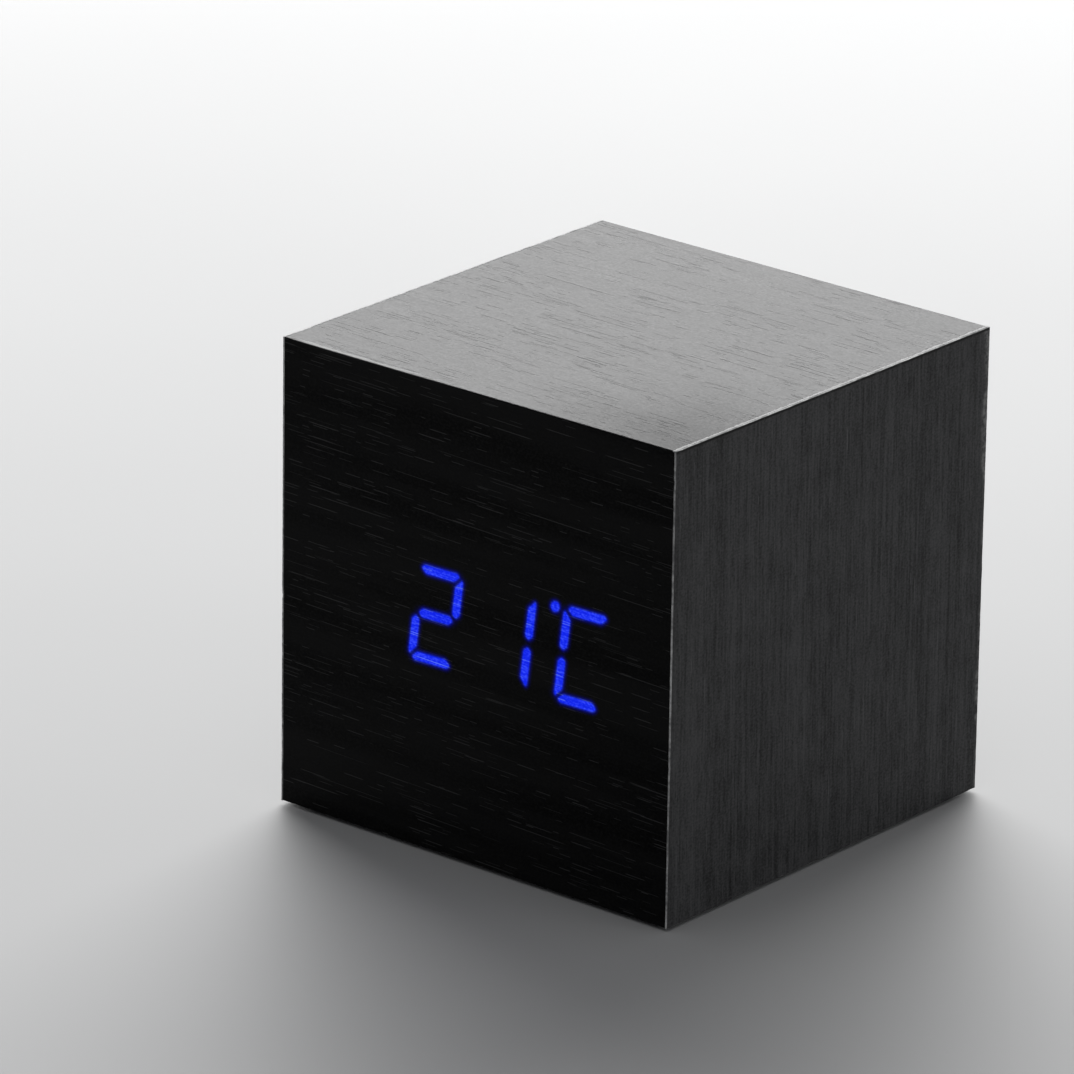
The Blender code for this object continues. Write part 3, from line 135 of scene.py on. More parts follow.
# ---------------------------------------------------------------- material tools
class Surface:
    """A material with one Principled shader, and short calls that add its nodes."""

    def __init__(self, name, roughness=0.5, specular=0.5):
        self.material = bpy.data.materials.new(name)
        self.material.use_nodes = True
        self.tree = self.material.node_tree
        self.shader = self.tree.nodes["Principled BSDF"]
        self.shader.inputs["Roughness"].default_value = roughness
        self.shader.inputs["Specular IOR Level"].default_value = specular
        self.place = self.node("ShaderNodeTexCoord").outputs["Object"]

    def node(self, kind, inputs=(), **settings):
        """Adds a node. inputs are (name or number, socket or value) pairs."""
        made = self.tree.nodes.new(kind)
        for name, value in settings.items():
            setattr(made, name, value)
        for key, value in inputs:
            self.put(made.inputs[key], value)
        return made

    def put(self, socket, value):
        if isinstance(value, bpy.types.NodeSocket):
            self.tree.links.new(value, socket)
        else:
            socket.default_value = value

    def math(self, operation, *values):
        return self.node("ShaderNodeMath", enumerate(values), operation=operation).outputs[0]

    def add(self, *values):
        total = values[0]
        for value in values[1:]:
            total = self.math("ADD", total, value)
        return total

    def times(self, *values):
        total = values[0]
        for value in values[1:]:
            total = self.math("MULTIPLY", total, value)
        return total

    def most(self, *values):
        total = values[0]
        for value in values[1:]:
            total = self.math("MAXIMUM", total, value)
        return total

    def split(self, vector):
        made = self.node("ShaderNodeSeparateXYZ", [(0, vector)])
        return made.outputs[0], made.outputs[1], made.outputs[2]

    def vector(self, x, y, z=0.0):
        return self.node("ShaderNodeCombineXYZ", [(0, x), (1, y), (2, z)]).outputs[0]

    def ramp(self, value, low, high, start=0.0, end=1.0):
        """start below low, end above high, and a smooth step between them."""
        inputs = [("Value", value), ("From Min", low), ("From Max", high)]
        inputs += [("To Min", start), ("To Max", end)]
        made = self.node("ShaderNodeMapRange", inputs, interpolation_type="SMOOTHSTEP")
        return made.outputs["Result"]

    def stretch(self, value, start, end):
        """Takes a 0 to 1 value to start to end."""
        return self.math("MULTIPLY_ADD", value, end - start, start)

    def noise(self, vector, scale=1.0, detail=2.0, rough=0.5):
        inputs = [("Vector", vector), ("Scale", scale), ("Detail", detail), ("Roughness", rough)]
        return self.node("ShaderNodeTexNoise", inputs).outputs[0]

    def grain_noise(self, along, across, length, width, seed=0.0, detail=2.0):
        """Noise drawn out along the grain. length and width are the size of its features."""
        x = self.math("MULTIPLY_ADD", along, 1 / length, seed)
        y = self.times(across, 1 / width)
        return self.noise(self.vector(x, y, seed), detail=detail)

    def blend(self, share, first, second):
        inputs = [(0, share), (6, (*first, 1.0) if isinstance(first, tuple) else first)]
        inputs.append((7, (*second, 1.0) if isinstance(second, tuple) else second))
        return self.node("ShaderNodeMix", inputs, data_type="RGBA").outputs[2]

    def bump(self, height, depth, normal=None):
        """Tilts the surface by a 0 to 1 height whose full step is depth metres."""
        inputs = [("Height", height), ("Distance", depth)]
        if normal is not None:
            inputs.append(("Normal", normal))
        return self.node("ShaderNodeBump", inputs).outputs[0]

    def dashes(self, along, across, length, pitch, width, share, seed):
        """Short pores along the grain, one at most in each cell of length by pitch."""
        x = self.math("MULTIPLY_ADD", along, 1 / length, seed)
        y = self.math("MULTIPLY_ADD", across, 1 / pitch, seed)
        at = self.vector(x, y)
        inputs = [("Vector", at), ("Scale", 1.0), ("Randomness", 1.0)]
        cell = self.node("ShaderNodeTexVoronoi", inputs, voronoi_dimensions="2D")
        away = [(0, at), (1, cell.outputs["Position"])]
        away = self.node("ShaderNodeVectorMath", away, operation="SUBTRACT").outputs[0]
        dx, dy, _ = self.split(away)
        first, second, third = self.split(cell.outputs["Color"])
        dx = self.times(self.math("ABSOLUTE", dx), length)
        dy = self.times(self.math("ABSOLUTE", dy), pitch)
        reach = self.stretch(first, start=0.10 * length, end=0.42 * length)
        half_width = self.times(self.stretch(third, start=0.6, end=1.2), width / 2)
        taper = self.math("SUBTRACT", 1.0, self.math("DIVIDE", dx, reach))
        ends = self.ramp(taper, low=0.0, high=0.35)
        out = self.math("DIVIDE", dy, half_width)
        body = self.ramp(out, low=0.5, high=1.15, start=1.0, end=0.0)
        chosen = self.math("LESS_THAN", second, share)
        return self.times(ends, body, chosen, self.stretch(third, start=0.35, end=1.0))

    def finish(self, colour=None, roughness=None, normal=None, metallic=None):
        wanted = (
            ("Base Color", colour),
            ("Roughness", roughness),
            ("Normal", normal),
            ("Metallic", metallic),
        )
        for name, value in wanted:
            if value is not None:
                if isinstance(value, tuple):
                    value = (*value, 1.0)
                self.put(self.shader.inputs[name], value)
        return self.material


# ---------------------------------------------------------------- wood
def wrap_wood():
    """Black open-pored veneer whose grain runs along X and over the folds, lit from behind."""
    made = Surface("wrap_veneer_wood", specular=0.05)
    x, y, z = made.split(made.place)
    sheet = made.add(y, z, made.times(x, GRAIN_SLOPE))
    wander = made.grain_noise(x, sheet, length=45 * MM, width=9 * MM, seed=3.1)
    across = made.math("MULTIPLY_ADD", wander, 0.2 * MM, sheet)
    kinks = made.grain_noise(x, sheet, length=3.5 * MM, width=3 * MM, seed=6.4)
    across = made.math("MULTIPLY_ADD", kinks, 0.012 * MM, across)
    pores = open_pores(made, x, across)
    fibres = made.grain_noise(x, across, length=14 * MM, width=0.22 * MM, seed=1.7, detail=1.0)
    specks = made.grain_noise(x, across, length=0.42 * MM, width=0.30 * MM, seed=8.8, detail=1.0)
    bands = made.grain_noise(x, across, length=70 * MM, width=5 * MM, seed=4.9, detail=3.0)
    dark = made.blend(made.ramp(bands, low=0.34, high=0.66), WRAP_DARK, WRAP_LIGHT)
    grain = made.add(made.times(fibres, 0.25), made.times(specks, 0.75))
    streaky = made.times(made.ramp(grain, low=0.42, high=0.66), 0.6)
    dark = made.blend(streaky, dark, WRAP_STREAK)
    # The pores are real grooves; the pale grey in them is painted highlight from light on their
    # walls
    colour = made.blend(pores, dark, PORE_HIGHLIGHT_GREY)
    # worn holds both real wear along the right end and a painted highlight along the front fold
    worn = made.most(worn_strip(made, x, y), made.times(painted_fold_highlight(made, x, y), 0.72))
    colour = made.blend(worn, colour, WORN_AND_HIGHLIGHT_GREY)
    dulled = made.times(handled_corner(made, x, y), 0.10)
    polish = made.stretch(grain, start=0.26, end=0.54)
    roughness = made.add(polish, made.times(pores, 0.19), dulled)
    roughness = made.add(roughness, made.times(worn, 0.3))
    grooves = made.add(
        made.times(made.math("SUBTRACT", 1.0, pores), 0.9),
        made.times(fibres, 0.04),
        made.times(specks, 0.17),
    )
    shine_through(made, made.add(made.times(fibres, 0.5), made.times(specks, 0.5)), pores)
    return made.finish(colour, roughness, made.bump(grooves, WRAP_BUMP))


def open_pores(made, x, across):
    """Three sizes of dash, thicker on the ground in some places than in others."""
    clumps = made.grain_noise(x, across, length=16 * MM, width=4.5 * MM, seed=7.7)
    share = made.ramp(clumps, low=0.36, high=0.68, start=0.12, end=0.60)
    sizes = []
    for length, pitch, width, seed, strength in PORES:
        drawn = made.dashes(x, across, length, pitch, width, share, seed)
        sizes.append(drawn if strength is None else made.times(drawn, strength))
    return made.most(*sizes)


def shine_through(made, threads, pores):
    """The display's light, which fades out exponentially and is brighter through the pores."""
    glow = made.node("ShaderNodeAttribute", attribute_name="glow").outputs["Fac"]
    streaks = made.add(made.times(made.ramp(threads, low=0.42, high=0.68), 0.3), pores)
    core = made.blend(streaks, GLOW_DEEP, GLOW_PALE)
    light = made.blend(made.ramp(glow, low=0.58, high=0.80), GLOW_RIM, core)
    made.put(made.shader.inputs["Emission Color"], light)
    fading = made.math("EXPONENT", made.stretch(glow, -GLOW_SPAN, 0.0))
    fading = made.math("SUBTRACT", fading, math.exp(-GLOW_SPAN))
    strength = made.times(fading, made.stretch(threads, start=0.45, end=1.30))
    made.put(made.shader.inputs["Emission Strength"], strength)


def handled_corner(made, x, y):
    """Where the polish has been dulled by hands, round the corner by the front and right."""
    low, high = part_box("wrap_veneer")
    dx = made.math("SUBTRACT", x, high.x)
    dy = made.math("SUBTRACT", y, low.y)
    away = made.math("SQRT", made.add(made.times(dx, dx), made.times(dy, dy)))
    cloud = made.noise(made.place, scale=60.0)
    away = made.math("MULTIPLY_ADD", cloud, 16 * MM, away)
    return made.ramp(away, low=2 * MM, high=42 * MM, start=1.0, end=0.0)


def worn_strip(made, x, y):
    """Where the black has rubbed off the upper face, along its end by the right side sheet."""
    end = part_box("wrap_veneer")[1].x
    _, _, up = made.split(made.node("ShaderNodeTexCoord").outputs["Normal"])
    slow = made.noise(made.vector(made.times(y, 1 / (4.5 * MM)), 2.7), detail=3.0)
    ragged = made.noise(made.place, scale=1900.0, detail=3.0, rough=0.6)
    reach = made.stretch(slow, start=0.05 * MM, end=0.55 * MM)
    reach = made.add(reach, made.stretch(ragged, start=-0.3 * MM, end=0.3 * MM))
    away = made.math("SUBTRACT", made.math("SUBTRACT", end, x), reach)
    near = made.ramp(away, low=-0.08 * MM, high=0.06 * MM, start=1.0, end=0.0)
    return made.times(near, made.ramp(up, low=0.4, high=0.8))


def painted_fold_highlight(made, x, y):
    """A painted highlight by the fold over the front, along its left third: pale colour in place of
    the fold's reflection.
    """
    low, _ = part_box("wrap_veneer")
    _, _, up = made.split(made.node("ShaderNodeTexCoord").outputs["Normal"])
    slow = made.noise(made.vector(made.times(x, 1 / (5 * MM)), 6.1), detail=2.0)
    reach = made.stretch(slow, start=0.40 * MM, end=1.05 * MM)
    away = made.math("SUBTRACT", made.math("SUBTRACT", y, low.y), reach)
    near = made.ramp(away, low=-0.15 * MM, high=0.10 * MM, start=1.0, end=0.0)
    left = made.ramp(x, low.x + 0.5 * MM, low.x + 4 * MM)
    right = made.ramp(x, low.x + 17 * MM, low.x + 32 * MM, start=1.0, end=0.0)
    return made.times(near, left, right, made.ramp(up, low=0.5, high=0.8))


def side_wood():
    """Charcoal veneer with upright streaks, and pale raw edges where it was cut."""
    made = Surface("side_veneer_wood", specular=0.15)
    x, y, z = made.split(made.place)
    across = made.math("MULTIPLY_ADD", z, 0.012, made.math("MULTIPLY_ADD", x, 0.8, y))
    streaks = made.grain_noise(z, across, length=20 * MM, width=0.46 * MM, seed=2.3, detail=1.5)
    fine = made.grain_noise(z, across, length=0.30 * MM, width=0.42 * MM, seed=8.1, detail=1.0)
    broad = made.grain_noise(z, across, length=90 * MM, width=5.0 * MM, seed=5.5)
    mottle = made.noise(made.place, scale=260.0, detail=3.0)
    flecks = made.grain_noise(z, across, length=3.0 * MM, width=0.34 * MM, seed=6.6, detail=1.0)
    tone = made.add(made.times(streaks, 0.26), made.times(fine, 0.28), made.times(broad, 0.14))
    tone = made.add(tone, made.times(mottle, 0.12), made.times(flecks, 0.20))
    colour = made.blend(made.ramp(tone, low=0.30, high=0.70), SIDE_DARK, SIDE_LIGHT)
    glints = made.dashes(z, across, 7 * MM, 0.9 * MM, width=0.14 * MM, share=0.16, seed=3.0)
    colour = made.blend(made.times(glints, 0.7), colour, SIDE_GLINT)
    ragged = made.noise(made.place, scale=900.0, detail=4.0, rough=0.7)
    patches = made.noise(made.place, scale=110.0, detail=3.0)
    rubbed = made.times(rubbed_rear(made, y, z, ragged, patches), 0.85)
    colour = made.blend(rubbed, colour, SCUFF_GREY)
    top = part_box("right_veneer")[1].z
    # Painted shadow: a ragged dark band just under the top edge of the side, for the shade in the
    # seam below the top
    seam_shadow = made.ramp(z, top - 0.46 * MM, top - 0.28 * MM)
    seam_shadow = made.times(seam_shadow, made.ramp(ragged, low=0.30, high=0.46))
    colour = made.blend(made.times(seam_shadow, 0.9), colour, SEAM_SHADOW_BLACK)
    side, _, _ = made.split(made.node("ShaderNodeTexCoord").outputs["Normal"])
    edge = made.ramp(made.math("ABSOLUTE", side), low=0.60, high=0.92, start=1.0, end=0.0)
    edge_tone = made.add(made.times(ragged, 0.6), made.times(patches, 0.4))
    raw = made.blend(made.ramp(edge_tone, low=0.38, high=0.66), RAW_DARK, RAW_LIGHT)
    colour = made.blend(edge, colour, raw)
    roughness = made.add(made.stretch(streaks, start=0.42, end=0.60), made.times(edge, 0.32))
    normal = made.bump(made.add(streaks, made.times(fine, 0.5)), SIDE_BUMP)
    return made.finish(colour, roughness, normal)


def rubbed_rear(made, y, z, ragged, patches):
    """Scuffs along the rear edge of the side, wider near the top."""
    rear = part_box("right_veneer")[1].y
    reach = made.stretch(patches, start=-0.9 * MM, end=1.7 * MM)
    reach = made.add(reach, made.ramp(z, low=38 * MM, high=56 * MM, start=0.0, end=0.9 * MM))
    away = made.math("SUBTRACT", made.math("SUBTRACT", rear, y), reach)
    near = made.ramp(away, low=-0.45 * MM, high=0.35 * MM, start=1.0, end=0.0)
    return made.times(near, made.ramp(ragged, low=0.36, high=0.66))


def fibreboard():
    """Raw pressed fibre: tan, matt and flecked."""
    made = Surface("fibreboard", 0.9, 0.2)
    flecks = made.noise(made.place, scale=1800.0, detail=4.0, rough=0.65)
    patches = made.noise(made.place, scale=160.0, detail=3.0)
    tone = made.add(made.times(flecks, 0.6), made.times(patches, 0.4))
    tone = made.ramp(tone, low=0.35, high=0.65)
    colour = made.blend(tone, (0.20, 0.125, 0.065), (0.40, 0.28, 0.165))
    return made.finish(colour, made.stretch(flecks, 0.80, 0.95), made.bump(flecks, 0.05 * MM))


# ---------------------------------------------------------------- plastic, metal and the rest
def plastic(name, dark, light, roughness, texture=0.02 * MM, scale=2600.0):
    """Moulded plastic with a fine spark-eroded texture and a slight change of tone."""
    made = Surface(name, roughness, 0.45)
    grain = made.noise(made.place, scale, detail=3.0, rough=0.6)
    cloud = made.noise(made.place, scale=90.0)
    colour = made.blend(cloud, dark, light)
    rough = made.stretch(grain, roughness - 0.07, roughness + 0.09)
    return made.finish(colour, rough, made.bump(grain, texture))


def metal(name, dark, light, roughness):
    """Plated or drawn metal with fine wandering scratches."""
    made = Surface(name, roughness)
    marks = made.noise(made.place, scale=1500.0, detail=4.0, rough=0.7)
    cloud = made.noise(made.place, scale=220.0, detail=3.0)
    made.shader.inputs["Metallic"].default_value = 1.0
    rough = made.stretch(marks, roughness - 0.08, roughness + 0.12)
    return made.finish(made.blend(cloud, dark, light), rough, made.bump(marks, 0.004 * MM))


def circuit_board():
    """Green solder mask over a maze of copper tracks, with pads that shine through."""
    made = Surface("circuit_board", 0.35, 0.5)
    x, _, z = made.split(made.place)
    pitch = 2.1 * MM
    at = made.vector(made.times(x, 1 / pitch), made.times(z, 1 / pitch))
    cell = made.node("ShaderNodeTexVoronoi", [("Vector", at), ("Scale", 1.0)], distance="MANHATTAN")
    away = cell.outputs["Distance"]
    tracks = made.ramp(made.math("PINGPONG", away, 0.18), low=0.07, high=0.10)
    pads = made.ramp(away, low=0.10, high=0.14, start=1.0, end=0.0)
    colour = made.blend(tracks, (0.004, 0.050, 0.020), (0.010, 0.105, 0.042))
    colour = made.blend(pads, colour, (0.55, 0.56, 0.54))
    return made.finish(colour, made.stretch(pads, 0.35, 0.28), made.bump(tracks, 0.03 * MM), pads)


def light_guide(name, colour, light):
    """Frosted clear plastic, faintly clouded; light is what it gives off."""
    made = Surface(name, 0.35, 0.5)
    cloud = made.noise(made.place, scale=700.0, detail=3.0)
    shade = made.blend(cloud, colour, tuple(min(1.0, 1.25 * part) for part in colour))
    if light:
        tint = made.blend(cloud, (0.01, 0.03, 0.8), (0.03, 0.08, 1.0))
        made.put(made.shader.inputs["Emission Color"], tint)
        made.shader.inputs["Emission Strength"].default_value = light
    return made.finish(shade, made.stretch(cloud, 0.30, 0.45), made.bump(cloud, 0.01 * MM))


def cable(name, dark, light, pitch):
    """Vinyl insulation; pitch is the spacing of a ribbon's cores along X, or nothing."""
    made = Surface(name, 0.45, 0.45)
    grain = made.noise(made.place, scale=900.0, detail=3.0)
    colour = made.blend(grain, dark, light)
    height = grain
    if pitch:
        x, _, _ = made.split(made.place)
        rib = made.math("PINGPONG", made.times(x, 1 / pitch), 0.5)
        height = made.math("POWER", made.times(rib, 2.0), 0.5)
        valley = made.ramp(rib, low=0.0, high=0.12, start=0.6, end=0.0)
        colour = made.blend(valley, colour, dark)
    depth = 0.25 * MM if pitch else 0.01 * MM
    return made.finish(colour, made.stretch(grain, 0.38, 0.52), made.bump(height, depth))


def rubber():
    """Matt black rubber with a coarse grain."""
    made = Surface("foot_rubber", 0.85, 0.3)
    grain = made.noise(made.place, scale=2200.0, detail=4.0, rough=0.7)
    colour = made.blend(grain, (0.010, 0.010, 0.010), (0.028, 0.028, 0.027))
    return made.finish(colour, made.stretch(grain, 0.75, 0.95), made.bump(grain, 0.04 * MM))


def cell_sleeve():
    """The printed sleeve of a cell: a dark body, a bright band at one end and a fine stripe."""
    made = Surface("cell_sleeve", 0.3, 0.5)
    place = made.node("ShaderNodeAttribute", attribute_name="along").outputs["Fac"]
    scuff = made.noise(made.place, scale=800.0, detail=4.0, rough=0.65)
    band = made.ramp(place, low=0.735, high=0.738)
    stripe = made.ramp(place, low=0.700, high=0.702)
    stripe = made.times(stripe, made.ramp(place, low=0.715, high=0.717, start=1.0, end=0.0))
    colour = made.blend(scuff, (0.010, 0.032, 0.052), (0.016, 0.045, 0.070))
    colour = made.blend(band, colour, (0.62, 0.30, 0.06))
    colour = made.blend(stripe, colour, (0.55, 0.56, 0.57))
    return made.finish(colour, made.stretch(scuff, 0.22, 0.40), made.bump(scuff, 0.004 * MM))


def ink():
    """Off-white printing ink."""
    made = Surface("key_mark_ink", 0.5, 0.4)
    grain = made.noise(made.place, scale=3000.0, detail=3.0)
    colour = made.blend(grain, (0.55, 0.55, 0.55), (0.68, 0.68, 0.67))
    return made.finish(colour, made.stretch(grain, 0.45, 0.60))


def floor_surface():
    """A matt studio floor, faintly clouded."""
    made = Surface("pale_floor", 0.6, 0.25)
    cloud = made.noise(made.place, scale=3.0, detail=3.0)
    low = tuple(0.985 * part for part in FLOOR_COLOUR)
    return made.finish(made.blend(cloud, low, FLOOR_COLOUR), made.stretch(cloud, 0.55, 0.65))


# ---------------------------------------------------------------- mesh tools
def add_piece(name, mesh, body, slot, *replaced):
    """Puts a mesh in the scene on a body, and hides the nodes that it stands in for. slot is not
    used.
    """
    piece = bpy.data.objects.new(name, mesh)
    bpy.context.scene.collection.objects.link(piece)
    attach(piece, body)
    if replaced:
        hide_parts(*replaced)
    return piece


def outline_of(faces):
    """The corners round a flat patch of faces, in order."""
    patch = set(faces)
    edges = [
        edge
        for face in faces
        for edge in face.edges
        if sum(other in patch for other in edge.link_faces) == 1
    ]
    follow = {}
    for edge in edges:
        for vert in edge.verts:
            follow.setdefault(vert, []).append(edge)
    start = edges[0].verts[0]
    corners, vert, edge = [start.co.copy()], edges[0].verts[1], edges[0]
    while vert is not start:
        corners.append(vert.co.copy())
        edge = next(other for other in follow[vert] if other is not edge)
        vert = edge.other_vert(vert)
    return corners


def flat_patches(node, y):
    """The outlines of the node's separate flat faces that lie at y."""
    shape = bmesh.new()
    shape.from_mesh(node.data)
    bmesh.ops.remove_doubles(shape, verts=shape.verts, dist=WELD)
    left = {f for f in shape.faces if all(abs(v.co.y - y) < ON_GUIDE for v in f.verts)}
    outlines = []
    while left:
        patch, reached = [], [left.pop()]
        while reached:
            face = reached.pop()
            patch.append(face)
            for edge in face.edges:
                for other in edge.link_faces:
                    if other in left:
                        left.remove(other)
                        reached.append(other)
        outlines.append(simplified(outline_of(patch)))
    shape.free()
    return outlines


def simplified(corners):
    """Drops corners that lie on the straight line between their neighbours."""
    kept = []
    for i, corner in enumerate(corners):
        before = (corner - corners[i - 1]).normalized()
        after = (corners[(i + 1) % len(corners)] - corner).normalized()
        if before.dot(after) < STRAIGHT:
            kept.append(corner)
    return kept


def centre_of(corners):
    low = Vector([min(c[i] for c in corners) for i in range(3)])
    high = Vector([max(c[i] for c in corners) for i in range(3)])
    return (low + high) / 2


def outward(corners):
    """At each corner of a convex outline in x and z, the step that moves its edges out by one."""
    area = sum(a.x * b.z - a.z * b.x for a, b in zip(corners, corners[1:] + corners[:1]))
    turn = 1 if area > 0 else -1
    steps = []
    for i, corner in enumerate(corners):
        before = (corner - corners[i - 1]).normalized()
        after = (corners[(i + 1) % len(corners)] - corner).normalized()
        both = before + after
        middle = turn * Vector((both.z, 0, -both.x))
        steps.append(2 * middle / middle.length_squared)
    return steps


def grown(corners, margin):
    """The outline with every edge moved out by the margin."""
    return [corner + step * margin for corner, step in zip(corners, outward(corners))]


def rounded(corners, reach, steps=4):
    """The outline with each corner replaced by a curve that starts up to reach before it."""
    points = []
    for i, corner in enumerate(corners):
        before = corners[i - 1] - corner
        after = corners[(i + 1) % len(corners)] - corner
        start = corner + before.normalized() * min(reach, before.length * CORNER_SHARE)
        end = corner + after.normalized() * min(reach, after.length * CORNER_SHARE)
        for step in range(steps + 1):
            t = step / steps
            points.append((1 - t) ** 2 * start + 2 * t * (1 - t) * corner + t**2 * end)
    return points


def stepped(corners, step):
    """The outline with points added along its long edges."""
    points = []
    for a, b in zip(corners, corners[1:] + corners[:1]):
        count = max(1, round((b - a).length / step))
        points += [a.lerp(b, i / count) for i in range(count)]
    return points


def gap_to(point, corners):
    """The distance from a point to the nearest edge of an outline."""
    nearest = math.inf
    for a, b in zip(corners, corners[1:] + corners[:1]):
        along = b - a
        share = max(0.0, min(1.0, (point - a).dot(along) / along.length_squared))
        nearest = min(nearest, (point - a - along * share).length)
    return nearest


def inside(point, corners):
    """Whether a point lies inside an outline in x and z."""
    crossings = 0
    for a, b in zip(corners, corners[1:] + corners[:1]):
        if (a.z > point.z) != (b.z > point.z):
            crossings += point.x < a.x + (b.x - a.x) * (point.z - a.z) / (b.z - a.z)
    return crossings % 2 == 1


def signed_gap(point, corners):
    """The distance from a point to an outline, below zero inside it."""
    return -gap_to(point, corners) if inside(point, corners) else gap_to(point, corners)


def finish_mesh(name, shape, angle=30):
    """The shape as a mesh, shaded smooth but sharp where it folds by more than the angle."""
    bmesh.ops.recalc_face_normals(shape, faces=shape.faces)
    mesh = bpy.data.meshes.new(name)
    shape.to_mesh(mesh)
    shape.free()
    mesh.shade_smooth()
    mesh.set_sharp_from_angle(angle=math.radians(angle))
    return mesh


def keep_flats_flat(piece):
    """Shades large flat faces by their own direction, so that only the narrow folds curve."""
    change = piece.modifiers.new("flats", "WEIGHTED_NORMAL")
    change.weight = FLAT_WEIGHT
    change.keep_sharp = True


# ---------------------------------------------------------------- display
def lit_outlines(nodes):
    """The outlines of the lit segments, taken from the faces of the light guides."""
    low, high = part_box("display_reflector")
    centre = (low + high) / 2
    outlines = []
    for digit, letters in LIT.items():
        guide = nodes[f"digit_{digit}_light_guide"]
        patches = flat_patches(guide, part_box(guide.name)[0].y)
        wanted = [
            Vector((centre.x + (digit - MIDDLE_DIGIT) * DIGIT_PITCH + dx, 0, centre.z + dz))
            for dx, dz in (SEGMENT_OFFSETS[letter] for letter in letters)
        ]
        if digit == 3:
            middle = centre.x + DIGIT_PITCH / 2
            wanted.append(Vector((middle + DEGREE_AT[0], 0, centre.z + DEGREE_AT[1])))
        for target in wanted:
            nearest = min(patches, key=lambda p: flat_distance(centre_of(p), target))
            outlines.append(nearest)
    return outlines


def flat_distance(a, b):
    return math.hypot(a.x - b.x, a.z - b.z)


def brightness(point, bars):
    """How far a point shines, from 0 to 1, by its distance from the lit bars round it."""
    light = sum(math.exp((GLOW_CORE - signed_gap(point, bar)) / GLOW_FADE) for bar in bars)
    return max(0.0, min(1.0, 1 + math.log(max(light, FAINTEST)) / GLOW_SPAN))


def lit_rings(bar, others):
    """A bright core and rings that dim outwards, up to half way to the next bar."""
    limits = []
    for corner in bar:
        gap = min((gap_to(corner, other) for other in others), default=math.inf)
        limits.append(min(GLOW_REACH, GLOW_GAP_SHARE * gap))
    rows = [[GLOW_CORE] * len(bar)]
    rows += [[share * limit for limit in limits] for share in GLOW_RINGS]
    steps = outward(bar)
    return [[c + s * margin for c, s, margin in zip(bar, steps, row)] for row in rows]


def fence(bar, others):
    """Dark points round a bar, clear of the others, that keep its glow from spreading."""
    points = stepped(grown(bar, FENCE), FENCE_STEP)
    return [p for p in points if all(gap_to(p, other) > GLOW_REACH for other in others)]


def fill_front(shape, rim, bars, glow):
    """Fills the front face inside its rim with triangles that follow the lit bars."""
    corners = list({vert for edge in rim for vert in edge.verts})
    corners.sort(key=lambda vert: (vert.co.x, vert.co.z))
    points = [vert.co.copy() for vert in corners]
    places = {vert: i for i, vert in enumerate(corners)}
    borders = [tuple(places[vert] for vert in edge.verts) for edge in rim]
    for bar in bars:
        near = [o for o in bars if o is not bar and gap_to(centre_of(bar), o) < NEAR_BAR]
        for ring in lit_rings(bar, near):
            start, count = len(points), len(ring)
            borders += [(start + i, start + (i + 1) % count) for i in range(count)]
            points += ring
        points += fence(bar, near)
    flat = [Vector((p.x, p.z)) / MM for p in points]
    filled = geometry.delaunay_2d_cdt(flat, borders, [], 0, FILL_MERGE)
    verts = []
    for at, origins in zip(filled[0], filled[3]):
        known = [i for i in origins if i < len(corners)]
        if known:
            verts.append(corners[known[0]])
            continue
        place = Vector((at.x * MM, points[0].y, at.y * MM))
        vert = shape.verts.new(place)
        near = [bar for bar in bars if gap_to(place, bar) < GLOW_REACH or inside(place, bar)]
        vert[glow] = brightness(place, near) if near else 0.0
        verts.append(vert)
    for face in filled[2]:
        shape.faces.new([verts[i] for i in face])


def veneer_wrap(nodes):
    """The folded sheet, whose front face carries the glow of the lit segments."""
    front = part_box("wrap_veneer")[0].y
    shape = bmesh.new()
    shape.from_mesh(nodes["wrap_veneer"].data)
    bmesh.ops.remove_doubles(shape, verts=shape.verts, dist=WELD)
    face = [f for f in shape.faces if all(abs(v.co.y - front) < ON_FRONT for v in f.verts)]
    bmesh.ops.delete(shape, geom=face, context="FACES_ONLY")
    loose = [e for e in shape.edges if not e.link_faces]
    bmesh.ops.delete(shape, geom=loose, context="EDGES")
    glow = shape.verts.layers.float.new("glow")
    rim = [e for e in shape.edges if e.is_boundary]
    bars = []
    for outline in lit_outlines(nodes):
        flat = [Vector((corner.x, front, corner.z)) for corner in outline]
        bars.append(stepped(rounded(grown(flat, LIT_GROWTH), LIT_CORNER), LIT_STEP))
    fill_front(shape, rim, bars, glow)
    mesh = finish_mesh("veneer_wrap", shape)
    piece = add_piece("veneer_wrap", mesh, "case", "wrap_veneer", "wrap_veneer")
    mesh.materials.append(wrap_wood())
    keep_flats_flat(piece)


# ---------------------------------------------------------------- side veneers
def wobble(y, z, seed):
    """How far in the edge of a side sheet is worn at a point."""
    at = Vector((y, z, seed * MM)) / WOBBLE_SIZE
    worn = max(0.0, noise.noise(at) + 0.15) * EDGE_WOBBLE
    bite = noise.noise(at * 0.9 + Vector((9, 4, 2)))
    chip = max(0.0, bite - CHIP_ABOVE) * CHIP_SLOPE
    return worn + min(chip, CHIP_DEPTH)


